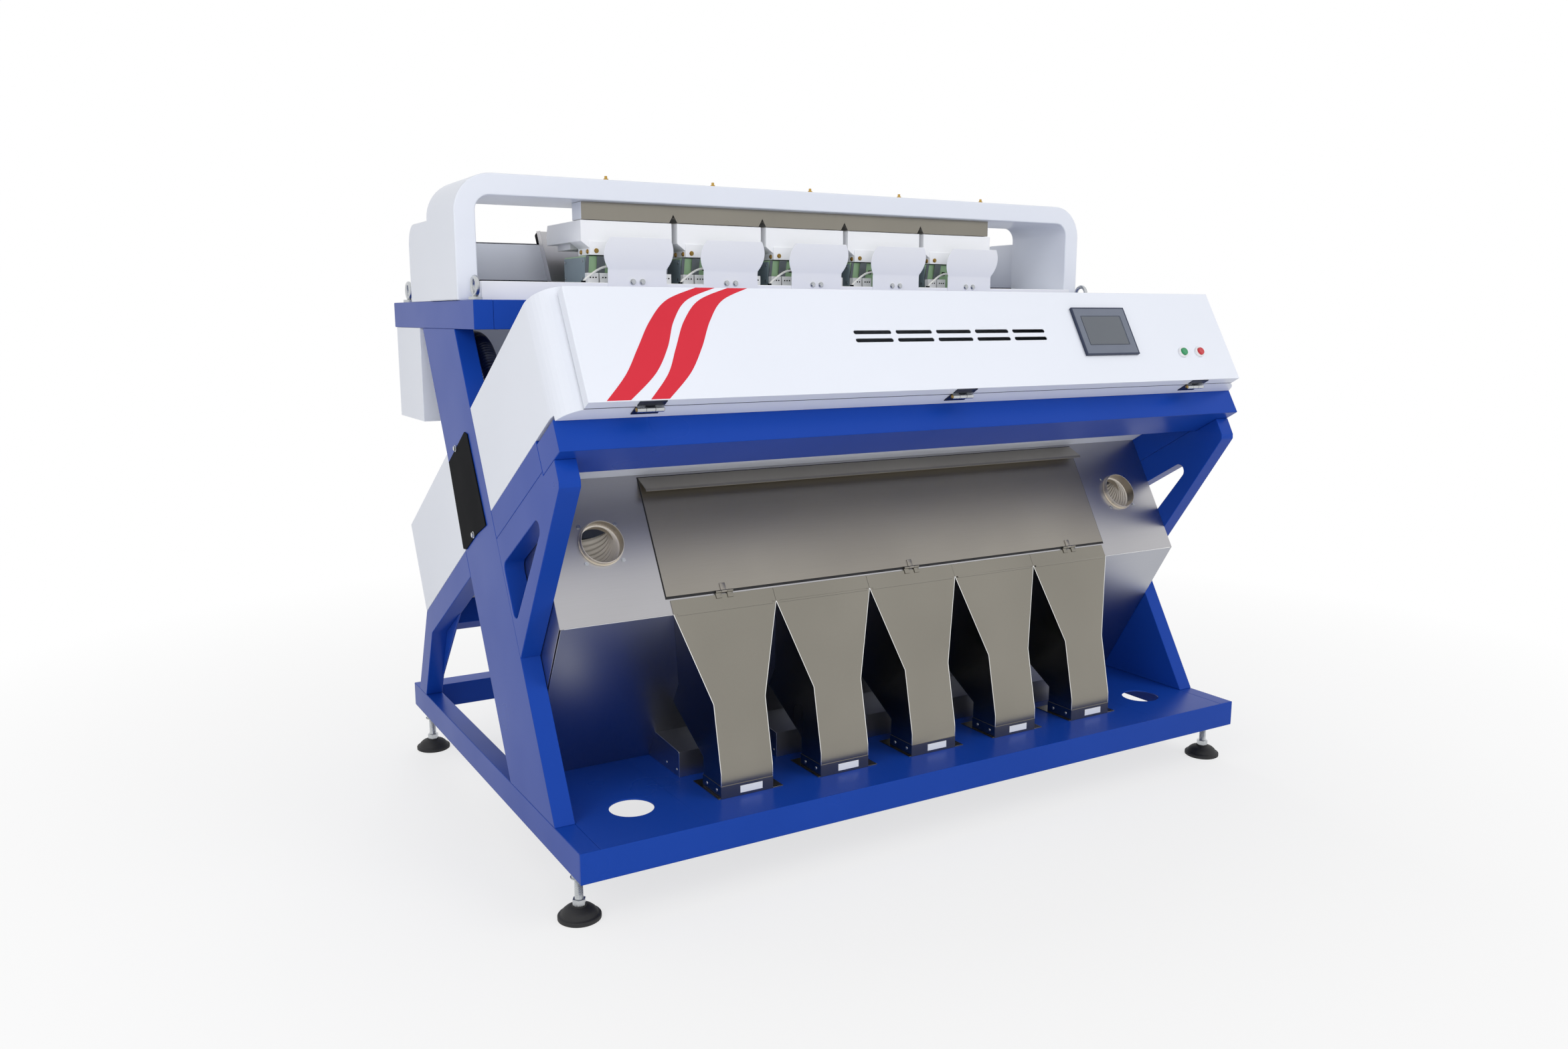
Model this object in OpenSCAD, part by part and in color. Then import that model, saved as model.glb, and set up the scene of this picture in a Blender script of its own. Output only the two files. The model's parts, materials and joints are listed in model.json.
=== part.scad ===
// Optical colour sorter for grain and seeds.
// Two side frames in the shape of a leaning X carry a front and a rear optical box.
// Feeders on top shake the grain onto chutes, and it falls between the boxes into two rows of spouts.

/* [Frame] */
// Width over the two side frames
frame_w = 2100; // [2060:5:2160]
// Depth of the side sills
frame_d = 1460; // [1455:1:1500]
// Thickness of the side frames across the width
tube_t = 50; // [44:1:56]
// Wall of the frame tubes
tube_wall = 4; // [3:0.5:5]
// Height of the sills and of the deck's front lip
sill_h = 73; // [68:1:80]
// Lean of the frame away from upright, in degrees
tilt = 30; // [29.5:0.1:30.5]
// Distance of the main leg's front edge from the front lip, square to the leg
leg_n = 100; // [92:1:108]
// Width of the main legs
leg_w = 280; // [270:1:290]
// Height of the cross leg's underside, measured along the main leg
cross_m = 856; // [850:1:862]
// Depth of the cross legs
cross_h = 74; // [66:1:78]
// Front face of the front crossbeam, square to the main leg
beam_n = -434; // [-440:1:-428]
// Depth of the front crossbeam
beam_d = 124; // [110:1:135]
// Underside of the top frame
top_z = 1197; // [1190:1:1205]
// Height of the top frame's beams
top_h = 73; // [66:1:80]
// Front end of the top frame
top_y = 626; // [620:1:632]

/* [Feet] */
// Diameter of a levelling pad
pad_d = 100; // [80:1:110]
// Height of the sills above the floor
foot_h = 118; // [100:1:140]
// Height of a levelling pad
pad_h = 34; // [26:1:40]
// Diameter of a levelling stud
stud_d = 20; // [16:1:24]

/* [Deck] */
// Thickness of the deck plate
deck_t = 4; // [3:0.5:6]
// Depth of the deck plate
deck_d = 505; // [500:1:530]
// Diameter of the deck's two dust outlets
outlet_d = 108; // [90:1:120]
// Distance of the dust outlets from the front lip
outlet_y = 182; // [170:1:200]

/* [Boxes] */
// Thickness of the painted sheet
sheet = 3; // [2:0.5:4]
// Height of the front and rear optical boxes, measured along the main leg
box_h = 282; // [276:1:290]
// Front plane of the front box, square to the main leg
front_n = -490; // [-496:1:-486]
// Radius of the front box's upright corners
corner_r = 80; // [60:1:90]
// Depth of the rear box
rear_box_d = 526; // [515:1:530]
// Height of the viewing window
window_h = 120; // [100:1:130]
// How far the viewing window passes the outer channels
window_past = 16; // [8:1:26]

/* [Front door] */
// Distance of the front door's ends from the sides of the frame
door_in = 51; // [40:1:70]
// Height of the front door
door_h = 278; // [270:1:284]
// Depth of the front door's folded edge
door_d = 30; // [24:1:36]
// Width of the touch screen's bezel
screen_w = 194; // [180:1:210]
// Height of the touch screen's bezel
screen_h = 143; // [130:1:150]
// Diameter of the push buttons
button_d = 22; // [18:0.5:26]
// Travel of the push buttons
button_travel = 4; // [3:0.5:5]

/* [Feeding] */
// Spacing of the channels
pitch = 285.5; // [283:0.5:286]
// Gap between neighbouring feeder pans
pan_gap = 17; // [12:1:22]
// Height of a feeder pan's trough
pan_h = 55; // [50:1:58]
// Underside of the feeder pans' troughs
pan_z = 1429; // [1425:1:1433]
// Rear edge of the feeder pans
pan_end = 1055; // [1045:1:1062]
// Front of the feed hopper
hopper_y = 790; // [785:1:796]
// Depth of the feed hopper
hopper_d = 66; // [58:1:74]
// Front face of the feeder hood
hood_y = 746; // [742:1:752]
// Depth of the feeder hood
hood_d = 269; // [262:1:276]
// Top of the feeder hood
hood_z = 1588; // [1575:1:1600]
// Width of the hood's members as seen from the front
hood_w = 55; // [50:1:60]
// Distance of the chutes' sliding face from the front lip, square to the main leg
chute_n = 232; // [228:1:238]
// Depth of the chutes' side walls
chute_wall_h = 25; // [18:1:28]

/* [Collecting] */
// Thickness of the stainless sheet
steel = 2; // [1.5:0.1:2.5]
// Front face of the stainless panel, square to the main leg
panel_n = -68; // [-72:1:-64]
// Height of the panel's lower fold, measured along the main leg
fold_m = 561; // [556:1:566]
// Width of a front spout below its waist
spout_w = 143; // [130:1:155]
// Front face of the spouts at the deck
spout_y = 116; // [112:1:122]
// Depth of a front spout at the deck
spout_d = 96; // [86:1:104]
// Width of a rear spout
rear_spout_w = 196; // [180:1:210]
// Front face of the rear spouts
rear_spout_y = 296; // [292:1:302]
// Diameter of the dust ports in the stainless panel
port_d = 115; // [100:1:120]

/* [Hidden] */
$fn = 64;
channels = 5;
blue = "#1D3F94";
white = "#E4E9F3";
stainless = "#B9B8B2";
zinc = "#C3C6C9";
black = "#17181B";

// Running clearance of hinge pins, gap between moving faces and gap between panels
fit = 0.08;
gap = 0.5;
seam = 2;
// Seat between pieces that are bolted or pushed together
seat = 0.3;

half_w = frame_w / 2;
in_x = half_w - tube_t;
bank_w = channels * pitch;
door_w = frame_w - 2 * door_in;
window_w = bank_w + 2 * window_past;
inspect_past = 8;
inspect_w = bank_w + 2 * inspect_past;
// Dust outlets and ports lie between the bank of spouts and the side frames
outlet_x = (bank_w / 2 + in_x) / 2 - 7;
port_x = (inspect_w / 2 + in_x) / 2 - 6;
// Seams of the deck's plates, and height of its rear flange
deck_seam = bank_w / 2 + 20;
flange_h = 40;
leg_back = leg_n + leg_w;
cross_top = cross_m + cross_h;
box_top = cross_top + box_h;
rear_n = leg_back + rear_box_d;
beam_back = beam_n + beam_d;
// The crossbeam's top lies a little below the cross legs, and its lip carries the front door
beam_drop = 9;
beam_m = cross_m - beam_drop;
beam_top = cross_top - beam_drop;
lip_m = beam_top - 4;
top_top = top_z + top_h;

// Depth and height of a point given square to the main leg (n) and along it (m)
function lean_y(n, m) = n * cos(tilt) + m * sin(tilt);
function lean_z(n, m) = m * cos(tilt) - n * sin(tilt);
function lean(n, m) = [lean_y(n, m), lean_z(n, m)];
// Depth of the plane n at the height z
function y_at(n, z) = (n + z * sin(tilt)) / cos(tilt);
// Distance along the leg of the plane n at the height z
function m_at(n, z) = (z + n * sin(tilt)) / cos(tilt);
// Sideways place of a channel
function channel_x(k) = (k - (channels - 1) / 2) * pitch;

// Knee where the cross leg meets the rear post
knee_out = lean(rear_n, cross_top);
knee_in = lean(rear_n - 17, cross_m);
gusset_n = beam_n + 40;
gusset_h = 307;
knee_t = 6;
post_foot_y = frame_d - 150;
post_foot_w = 80;
// Cover plates on the outside of the main legs
plate_t = 3;
plate_outline = [[749, 935], [911, 840], [805, 618], [779, 621], [679, 677], [593, 713], [725, 932]];
plate_bolts = [[838, 884], [704, 672]];

// Top frame and feeding
front_beam_d = 110;
mid_beam_y = 840;
mid_beam_d = 70;
platform_y = 720;
platform_back = 955;
platform_h = 48;
platform_z = top_top + platform_h;
hood_r = 100;
hood_in_r = 40;
inlet_w = 240;
stud_pitch = 320;
notch = [13, 22];
hood_back = hood_y + hood_d;
rear_hood_back = 1240;
rear_hood_z = 1484;
rear_hood_r = 60;
rear_wall_z = 1457;
// Lifting eyes in front of the hood and between the rear hood and the end of the frame
eye_ys = [690, (rear_hood_back + frame_d) / 2 + 20];
hopper_half = 2.5 * pitch - 14;
hopper_z = pan_z + pan_h + seam;
pan_w = pitch - pan_gap;
// The pans stand a little in front of the hopper, and their outlet ends come to a blunt point
pan_y = hopper_y - 6;
pan_side = [[pan_y, pan_z], [pan_end - 4, pan_z], [pan_end, pan_z + 24], [pan_end - 12, pan_z + pan_h],
    [pan_y, pan_z + pan_h]];
// Bracket under the front of a pan, with sloping shoulders, and skirt under its rear part
bracket_half = pan_w / 2 - 24;
bracket_back = pan_y + 84;
bracket_h = 36;
shoulder_h = 18;
skirt_ys = [930, 1030];
skirt_h = 16;
magnet_w = 244;
magnet_y = 790;
magnet_top = pan_z - bracket_h - seam;
spring_w = 120;
spring_t = 3;
spring_ys = [880, 940];
// Guards: half width of the tab, swell of the leaning upper part's sides above its neck, lean and length
guard_t = 2;
guard_half = 86;
guard_swell = 15;
guard_lean = 16;
guard_low = top_top + 20;
guard_waist = platform_z + 32;
guard_len = 91;
guard_neck = 6;
guard_top = [-guard_len * sin(guard_lean), guard_waist + guard_len * cos(guard_lean)];
guard_bend = [[0, guard_low], [0, guard_waist], guard_top,
    guard_top - guard_t * [cos(guard_lean), sin(guard_lean)],
    [-guard_t, guard_waist - guard_t * tan(guard_lean / 2)], [-guard_t, guard_low]];
chute_z = 1473;
chute_end_m = box_top - 20;
chute_w = pitch - 3;
bar_s = 25;
chute_bar_n = chute_n + steel + seat;
chute_bar_ms = [box_top + 38, m_at(chute_n, top_top + 40)];
// Flat bar behind the chutes' upper ends
head_bar = [14, 30];
head_bar_m = m_at(chute_n, chute_z) - head_bar[1] - 4;

// Viewing zone
view_m = cross_top + box_h / 2;
window_m = view_m - window_h / 2;
glass_t = 5;
glass_lap = 12;
rail_s = 12;
rail_m = window_m + window_h + 24;
wiper_w = 20;
wiper_rest = -window_w / 2 + 10;
camera_dn = 330;

// Front door
door_m = lip_m - 1;
opening_in = 45;
door_opening = door_w - 2 * opening_in;
door_n = front_n - door_d;
door_axis = [front_n, door_m - 7];
// Hinges: length, radius of the knuckles, radius of the pin
big_hinge = [64, 6, 2.5];
small_hinge = [48, 3.5, 1.5];
leaf_t = 2.5;
// The leaves are as wide as their hinge this far from its axis
leaf_in = 9;
door_hinge_xs = [149 - door_w / 2, 0, door_w / 2 - 160];
screen_x = door_w / 2 - 469;
screen_m = 1070;
button_m = 1002;
button_xs = [door_w / 2 - 194, door_w / 2 - 127];
collar_d = button_d + 9;
// Height of the collars over the door, and of the buttons when they are out
collar_h = 7;
button_out = collar_h + button_travel + 1;
vent_w = 110;
vent_h = 10;
vent_pitch = 124;
vent_x = 14;
vent_ms = [1076, 1054];

// Collecting hopper
header_h = 36;
header_n = panel_n - steel;
fold = lean(panel_n, fold_m);
// Upper edges of the spouts, in front of the panel, and of the sloping floor, under it
spout_top = lean(header_n, fold_m);
floor_top = lean(panel_n + seat, fold_m - seat);
floor_run = 2.4;
floor_lap = 4.2;
hop_x = in_x - gap - steel;
back_n = leg_back + 8;
floor_foot = y_at(back_n - steel, sill_h) - floor_run - 2 * seat;
waist_z = 302;
collar_z = 136;
spout_floor_z = 150;
spout_in_z = 246;
rear_spout_z = 140;
rear_in_z = 150;
floor_slope = (floor_foot - floor_top[0]) / (floor_top[1] - sill_h);
// Depth of the sloping floor at the height z
function floor_y(z) = floor_top[0] + (floor_top[1] - z) * floor_slope;
waist_y = 152;
// Outline of a rear spout from the side
rear_side = [[rear_spout_y, sill_h], [rear_spout_y, rear_spout_z],
    [floor_y(rear_in_z) - seat, rear_in_z], [floor_foot - seat, sill_h]];
splitter_n = 150;
splitter_m = fold_m - 114;
splitter_h = 260;
// Front and rear edges of the hopper's side walls
wall_front = panel_n + steel + seat;
wall_back = back_n - steel - seat;
inspect_m = fold_m + header_h + 10;
inspect_h = 314;
// Lip along the door's upper edge: reach, drop of its slope, height of its hem, and how far it stops short
lip_out = 32;
lip_drop = 42;
hem_h = 7;
inspect_axis = [header_n - small_hinge[1], inspect_m - small_hinge[1] - gap];
inspect_hinge_xs = [155 - inspect_w / 2, 6, inspect_w / 2 - 141];
port_m = 760;
collar_out = 14;
collar_tail = 40;
hose_len = 130;
hole_off = 47;

// Ejector manifold with its row of valves
ejector_top = cross_m + 54;
manifold_x = hop_x - 10;
manifold_d = 66;
manifold_h = 60;

// Electrical cabinet
cabinet_y = 1165;
cabinet_z = 931;
cabinet_back = frame_d - 22;
flap_axis = [frame_d - 8, top_z - 8];
flap_drop = 7;
flap_hinge_xs = [-700, 0, 700];

// Air hose from the cabinet to the ejector manifold, and the feeder leads
hose_d = 50;
hose_x = hose_d - in_x;
hose_z = 1120;
hose_n = 345;
hose_route = [[1100, 1135], [1040, 1158], [965, 1166], [900, 1150], [850, 1112], [812, 1060], [785, 1000],
    [765, 930], [760, 860], [768, 790]];
lead_d = 6;
lead_z = platform_z + 45;
lead_route = [[-147, 741, platform_z + 1.4], [-145.2, 741, platform_z + 4.4],
    [-142.8, 741, platform_z + 8], [-138.2, 741, platform_z + 12.3], [-130, 741.5, platform_z + 17.8],
    [-121, 742.5, platform_z + 23.8], [-106, 744.5, platform_z + 33], [-90, 747.5, platform_z + 40],
    [-73, 751, platform_z + 43.5], [-61, 754.2, platform_z + 44.5], [-52.2, 763, lead_z], [-49, 775, lead_z],
    [-49, magnet_y - seat, lead_z]];

// Puts the machine over the middle of its base, with the pads on the floor
module machine() translate([0, -frame_d / 2, foot_h]) children();
// Turns depth into the direction square to the main leg, and height into the direction along it
module leaning() machine() rotate([-tilt, 0, 0]) children();
// Solid with a side outline of depth and height, from x0 to x1
module from_side(x0, x1, points) translate([x0, 0, 0]) rotate([90, 0,
    90]) linear_extrude(x1 - x0) polygon(points);
// Same child on both sides of the machine
module both_sides() for (s = [0, 1]) mirror([s, 0, 0]) children();
module block(low, high) translate(low) cube(high - low);
// Closed box section
module box_tube(low, high, wall) difference() {
    block(low, high);
    block(low + [wall, wall, wall], high - [wall, wall, wall]);
}
// Outline with every edge moved inwards; the points run counter-clockwise
function inset(p, w) = [for (i = [0 : len(p) - 1]) let (a = p[(i + len(p) - 1) % len(p)], b = p[i],
    c = p[(i + 1) % len(p)],
    d = (b - a) / norm(b - a), e = (c - b) / norm(c - b), u = [-d[1], d[0]],
        v = [-e[1], e[0]]) b + w * (u + v) / (1 + u * v)];
// Hollow member of the left side frame with the given side outline
module side_tube(outline) difference() {
    from_side(-half_w, -in_x, outline);
    from_side(-half_w + tube_wall, -in_x - tube_wall, inset(outline, tube_wall));
}
// Cylinder across the width at a leaning point
module across(x0, x1, at, r) translate([x0, at[0], at[1]]) rotate([0, 90, 0]) cylinder(h = x1 - x0, r = r);
// Cylinder pointing from n0 to n1, square to the main leg
module square_to_leg(x, m, n0, n1, r) translate([x, n0, m]) rotate([-90, 0, 0]) cylinder(h = n1 - n0,
    r = r);

// Tube swept along a route of points
function route_dir(p, i) = let (a = p[max(i - 1, 0)], b = p[min(i + 1, len(p) - 1)]) (b - a) / norm(b - a);
function route_ring(p, i, r, sides) = let (d = route_dir(p, i), s = abs(d[0]) > 0.9 ? [0, 0, 1] : [1, 0, 0],
    u = cross(d, s) / norm(cross(d, s)), v = cross(d, u))
    [for (k = [0 : sides - 1]) p[i] + r * (cos(360 * k / sides) * u + sin(360 * k / sides) * v)];
module sweep(p, d, sides) {
    n = len(p);
    points = [for (i = [0 : n - 1]) each route_ring(p, i, d / 2, sides)];
    walls = [for (i = [0 : n - 2], k = [0 : sides - 1]) let (a = i * sides, b = a + sides,
        k2 = (k + 1) % sides)
        each [[a + k, a + k2, b + k2], [a + k, b + k2, b + k]]];
    ends = [[for (k = [sides - 1 : -1 : 0]) k], [for (k = [0 : sides - 1]) (n - 1) * sides + k]];
    polyhedron(points, concat(walls, ends), 6);
}

// Frame

// Front lip, rear flange and side plates of the deck, with the dust outlets
module base_deck() color(blue) machine() {
    block([-half_w, 0, 0], [half_w, deck_t, sill_h]);
    block([-in_x, deck_d - deck_t, sill_h - flange_h], [in_x, deck_d, sill_h - deck_t - seat]);
    both_sides() difference() {
        deck_sheet(-in_x, -deck_seam - seat);
        translate([-outlet_x, outlet_y, 0]) cylinder(h = sill_h + 1, d = outlet_d);
    }
}
// Middle plate of the deck, with the spouts' holes
module deck_plate() color(blue) machine() difference() {
    deck_sheet(-deck_seam, deck_seam);
    for (k = [0 : channels - 1]) {
        spout_bore(channel_x(k), spout_w, spout_y, spout_d);
        spout_bore(channel_x(k), rear_spout_w, rear_spout_y, floor_foot - 8 - rear_spout_y);
    }
}
module deck_sheet(x0, x1) block([x0, deck_t + seat, sill_h - deck_t], [x1, deck_d, sill_h]);
// Hole in the deck under a spout
module spout_bore(x, w, y, d)
    block([x - w / 2 + steel, y + steel, 0], [x + w / 2 - steel, y + d - steel, sill_h + 1]);

module side_sills() color(blue) machine() both_sides()
    box_tube([-half_w, deck_t, 0], [-in_x, frame_d, sill_h], tube_wall);

function leg_outline(n0, n1, z0, z1) = [[y_at(n0, z0), z0], [y_at(n1, z0), z0], [y_at(n1, z1), z1],
    [y_at(n0, z1), z1]];
module main_legs() color(blue) machine() both_sides() side_tube(leg_outline(leg_n, leg_back, sill_h,
    top_z));

module cross_legs() color(blue) {
    leaning() both_sides() box_tube([-half_w, beam_back, cross_m], [-in_x, leg_n, cross_top], tube_wall);
    machine() both_sides() {
        side_tube([lean(leg_back, cross_m), knee_in, knee_out, lean(leg_back, cross_top)]);
        side_tube([knee_out, knee_in, [post_foot_y, sill_h], [post_foot_y + post_foot_w, sill_h]]);
    }
}

module front_crossbeam() color(blue) leaning()
    box_tube([-half_w, beam_n, beam_m], [half_w, beam_back, beam_top], tube_wall);

module rear_crossbeams() color(blue) {
    leaning() box_tube([-in_x, rear_n - 86, cross_m], [in_x, rear_n - 17, cross_top], tube_wall);
    machine() box_tube([-in_x, frame_d - 73, 0], [in_x, frame_d, sill_h], tube_wall);
}

module top_side_beams() color(blue) machine() both_sides()
    box_tube([-half_w, top_y, top_z], [-in_x, frame_d, top_top], tube_wall);

module top_crossbeams() color(blue) machine() {
    box_tube([-in_x, top_y, top_z], [in_x, top_y + front_beam_d, top_top], tube_wall);
    box_tube([-in_x, mid_beam_y, top_z], [in_x, mid_beam_y + mid_beam_d, top_top], tube_wall);
    box_tube([-in_x, frame_d - 73, top_z], [in_x, frame_d, top_top], tube_wall);
}

// Triangular box gussets under the front cross legs, with a rounded window, and plates inside the knees
module gusset_plates() color(blue) machine() both_sides() {
    difference() {
        from_side(-half_w, -in_x, [lean(beam_back, beam_m), lean(gusset_n, beam_m),
            lean(gusset_n + 2, cross_m - 60),
            lean(gusset_n + 8, cross_m - 72), lean(gusset_n + 22, cross_m - 79),
                lean(leg_n, cross_m - gusset_h),
            lean(leg_n, cross_m), lean(beam_back, cross_m)]);
        translate([-half_w - 1, 0, 0]) rotate([90, 0, 90]) linear_extrude(tube_t + 2) hull()
            for (p = [[gusset_n + 199, cross_m - 91], [leg_n - 35, cross_m - 91],
                [leg_n - 35, cross_m - 196]])
                translate(lean(p[0], p[1])) circle(r = 20, $fn = 24);
    }
    from_side(-in_x - knee_t, -in_x, [knee_in, lean(rear_n - 190, cross_m),
        knee_in + 0.72 * ([post_foot_y, sill_h] - knee_in)]);
}

// Feet, lifting eyes and cover plates

module at_feet() for (x = [-1, 1], y = [82, frame_d - 105]) translate([x * (half_w - tube_t / 2), y,
    -foot_h]) children();
module leveling_pads() color(black) machine() at_feet() rotate_extrude() polygon([[0, 0], [pad_d / 2, 0],
    [pad_d / 2, 10], [pad_d / 2 - 4, 14], [pad_d * 0.3, pad_h - 8], [stud_d * 0.8, pad_h], [0, pad_h]]);
module leveling_studs() color(zinc) machine() at_feet() {
    translate([0, 0, pad_h]) cylinder(h = foot_h - pad_h, d = stud_d);
    difference() {
        translate([0, 0, foot_h - 18]) cylinder(h = 18, d = stud_d * 1.7, $fn = 6);
        translate([0, 0, foot_h - 19]) cylinder(h = 20, d = stud_d + 2 * fit);
    }
    translate([0, 0, pad_h]) difference() {
        cylinder(h = 14, d = stud_d * 1.6, $fn = 6);
        translate([0, 0, -1]) cylinder(h = 16, d = stud_d + 2 * fit);
    }
}

module lifting_eyes() color(zinc) machine() for (x = [-1, 1], y = eye_ys)
    translate([x * (half_w - tube_t / 2), y, top_top]) {
        cylinder(h = 8, d = 34);
        translate([0, 0, 34]) rotate([90, 0, 90]) rotate_extrude() translate([22, 0]) circle(r = 6);
        translate([0, 0, 8]) cylinder(h = 8, d = 14);
    }

module leg_cover_plates() color(black) machine() both_sides() from_side(-half_w - plate_t, -half_w,
    plate_outline);

// Front box and its door

// Plan of the front box with rounded front corners, seen along the main leg
module box_plan(inset) {
    side = half_w - inset;
    translate([-side, front_n + corner_r]) square([2 * side, leg_n - inset - front_n - corner_r]);
    translate([-half_w + corner_r, front_n + inset]) square([frame_w - 2 * corner_r, corner_r]);
    for (s = [-1, 1]) translate([s * (half_w - corner_r), front_n + corner_r]) circle(r = corner_r - inset);
}
module front_box_shell() color(white) leaning() difference() {
    union() {
        difference() {
            translate([0, 0, cross_top]) linear_extrude(box_h) box_plan(0);
            translate([0, 0, cross_top + sheet]) linear_extrude(box_h - 2 * sheet) box_plan(sheet);
        }
        intersection() {
            translate([0, 0, lip_m]) linear_extrude(cross_top - lip_m) box_plan(0);
            block([-half_w, front_n, lip_m], [half_w, beam_n - 1, cross_top]);
        }
        block([-window_w / 2 - 20, leg_n, rail_m], [window_w / 2 + 20, leg_n + rail_s, rail_m + rail_s]);
    }
    block([-door_opening / 2, front_n - 1, cross_top + 30],
        [door_opening / 2, front_n + sheet + 1, box_top - 40]);
    block([-window_w / 2, leg_n - sheet - 1, window_m], [window_w / 2, leg_n + 1, window_m + window_h]);
}

module front_door() color(white) leaning() difference() {
    block([-door_w / 2, door_n, door_m], [door_w / 2, front_n - gap, door_m + door_h]);
    block([-door_w / 2 + sheet, door_n + sheet, door_m + sheet],
        [door_w / 2 - sheet, front_n, door_m + door_h - sheet]);
    for (m = vent_ms, k = [-2 : 2]) translate([vent_x + k * vent_pitch, 0, m]) vent_slot();
    block([screen_x - screen_w / 2 + 12, door_n - 1, screen_m - screen_h / 2 + 12],
        [screen_x + screen_w / 2 - 12, door_n + sheet + 1, screen_m + screen_h / 2 - 12]);
    for (x = button_xs) square_to_leg(x, button_m, door_n - 1, door_n + sheet + 1, button_d / 2 + 2);
}
module vent_slot() {
    block([-vent_w / 2 + vent_h / 2, door_n - 1, -vent_h / 2],
        [vent_w / 2 - vent_h / 2, door_n + sheet + 1, vent_h / 2]);
    for (s = [-1, 1]) square_to_leg(s * (vent_w - vent_h) / 2, 0, door_n - 1, door_n + sheet + 1,
        vent_h / 2);
}

// Hinge knuckles around an axis across the width; the fixed half holds the pin
module knuckles(x, at, size, moving) {
    third = size[0] / 3;
    if (moving) across(x - third / 2 + gap, x + third / 2 - gap, at, size[1]);
    else {
        for (s = [-1, 1]) across(x + s * third - third / 2, x + s * third + third / 2, at, size[1]);
        across(x - third, x + third, at, size[2]);
    }
}
module pin_bore(x, at, size) across(x - size[0], x + size[0], at, size[2] + fit);
module fixed_hinge_leaves() color(zinc) {
    leaning() for (x = door_hinge_xs) {
        knuckles(x, door_axis, big_hinge, false);
        for (s = [-1, 1]) leaf(x + s * big_hinge[0] / 3, big_hinge[0] / 3, [front_n, lip_m - leaf_t],
            [front_n + 34, lip_m]);
        leaf(x, big_hinge[0], [front_n + leaf_in, lip_m - leaf_t], [front_n + 34, lip_m]);
    }
    leaning() for (x = inspect_hinge_xs) {
        knuckles(x, inspect_axis, small_hinge, false);
        for (s = [-1, 1]) leaf(x + s * small_hinge[0] / 3, small_hinge[0] / 3,
            [header_n - leaf_t, inspect_axis[1] - 16], [header_n, inspect_axis[1]]);
    }
    machine() for (x = flap_hinge_xs) {
        knuckles(x, flap_axis, big_hinge, false);
        for (s = [-1, 1]) leaf(x + s * big_hinge[0] / 3, big_hinge[0] / 3,
            [cabinet_back, flap_axis[1] - 2], flap_axis + [0, 2]);
    }
}
// Flat of a hinge leaf of width w between two points of its section
module leaf(x, w, low, high) block([x - w / 2, low[0], low[1]], [x + w / 2, high[0], high[1]]);
module door_hinge_leaves() color(zinc) leaning() for (x = door_hinge_xs) difference() {
    union() {
        knuckles(x, door_axis, big_hinge, true);
        leaf(x, big_hinge[0] / 3 - 2 * gap, [door_n + 2, door_m - leaf_t], [front_n, door_m]);
        leaf(x, big_hinge[0], [door_n + 2, door_m - leaf_t], [front_n - leaf_in, door_m]);
    }
    pin_bore(x, door_axis, big_hinge);
}

module touch_screen() color(black) leaning() difference() {
    union() {
        block([screen_x - screen_w / 2, door_n - 8, screen_m - screen_h / 2],
            [screen_x + screen_w / 2, door_n, screen_m + screen_h / 2]);
        block([screen_x - screen_w / 2 + 13, door_n, screen_m - screen_h / 2 + 13],
            [screen_x + screen_w / 2 - 13, door_n + 25, screen_m + screen_h / 2 - 13]);
    }
    block([screen_x - screen_w / 2 + 24, door_n - 9, screen_m - screen_h / 2 + 30],
        [screen_x + screen_w / 2 - 24, door_n - 6, screen_m + screen_h / 2 - 26]);
}
module screen_glass() color("#3A3D40") leaning()
    block([screen_x - screen_w / 2 + 24, door_n - 7, screen_m - screen_h / 2 + 30],
        [screen_x + screen_w / 2 - 24, door_n - 6, screen_m + screen_h / 2 - 26]);

module button_collars() color(white) leaning() for (x = button_xs) difference() {
    union() {
        square_to_leg(x, button_m, door_n - collar_h, door_n, collar_d / 2);
        square_to_leg(x, button_m, door_n, door_n + 22, button_d / 2 + 1.5);
    }
    square_to_leg(x, button_m, door_n - collar_h - 1, door_n + 23, button_d / 2 + seat);
}
module push_button(x) leaning() square_to_leg(x, button_m, door_n - button_out, door_n + 16, button_d / 2);
module green_button() color("#0FA068") push_button(button_xs[0]);
module red_button() color("#C81A2B") push_button(button_xs[1]);

// Rear box and electrical cabinet

module rear_box_shell() color(white) leaning() difference() {
    union() {
        box_tube([-half_w, leg_back, cross_top + seat], [half_w, rear_n, box_top], sheet);
        block([-window_w / 2 - 20, leg_back - rail_s, rail_m],
            [window_w / 2 + 20, leg_back, rail_m + rail_s]);
    }
    block([-half_w + 60, rear_n - sheet - 1, cross_top + 40], [half_w - 60, rear_n + 1, box_top - 40]);
    block([-window_w / 2, leg_back - 1, window_m], [window_w / 2, leg_back + sheet + 1,
        window_m + window_h]);
}
module rear_service_panel() color(white) leaning()
    block([-half_w + 30, rear_n, cross_top + 18], [half_w - 30, rear_n + sheet, box_top - 18]);

module electrical_cabinet() color(white) machine() {
    cabinet_case();
    translate([half_w - 160, cabinet_y + 90, cabinet_z - 22]) difference() {
        cylinder(h = 22, r = 16);
        translate([0, 0, -1]) cylinder(h = 18, r = 9);
    }
}
module cabinet_case() difference() {
    box_tube([-half_w, cabinet_y, cabinet_z], [half_w, cabinet_back, top_z], sheet);
    block([-half_w + 40, cabinet_back - sheet - 1, cabinet_z + 30],
        [half_w - 40, cabinet_back + 1, top_z - 40]);
}
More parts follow.
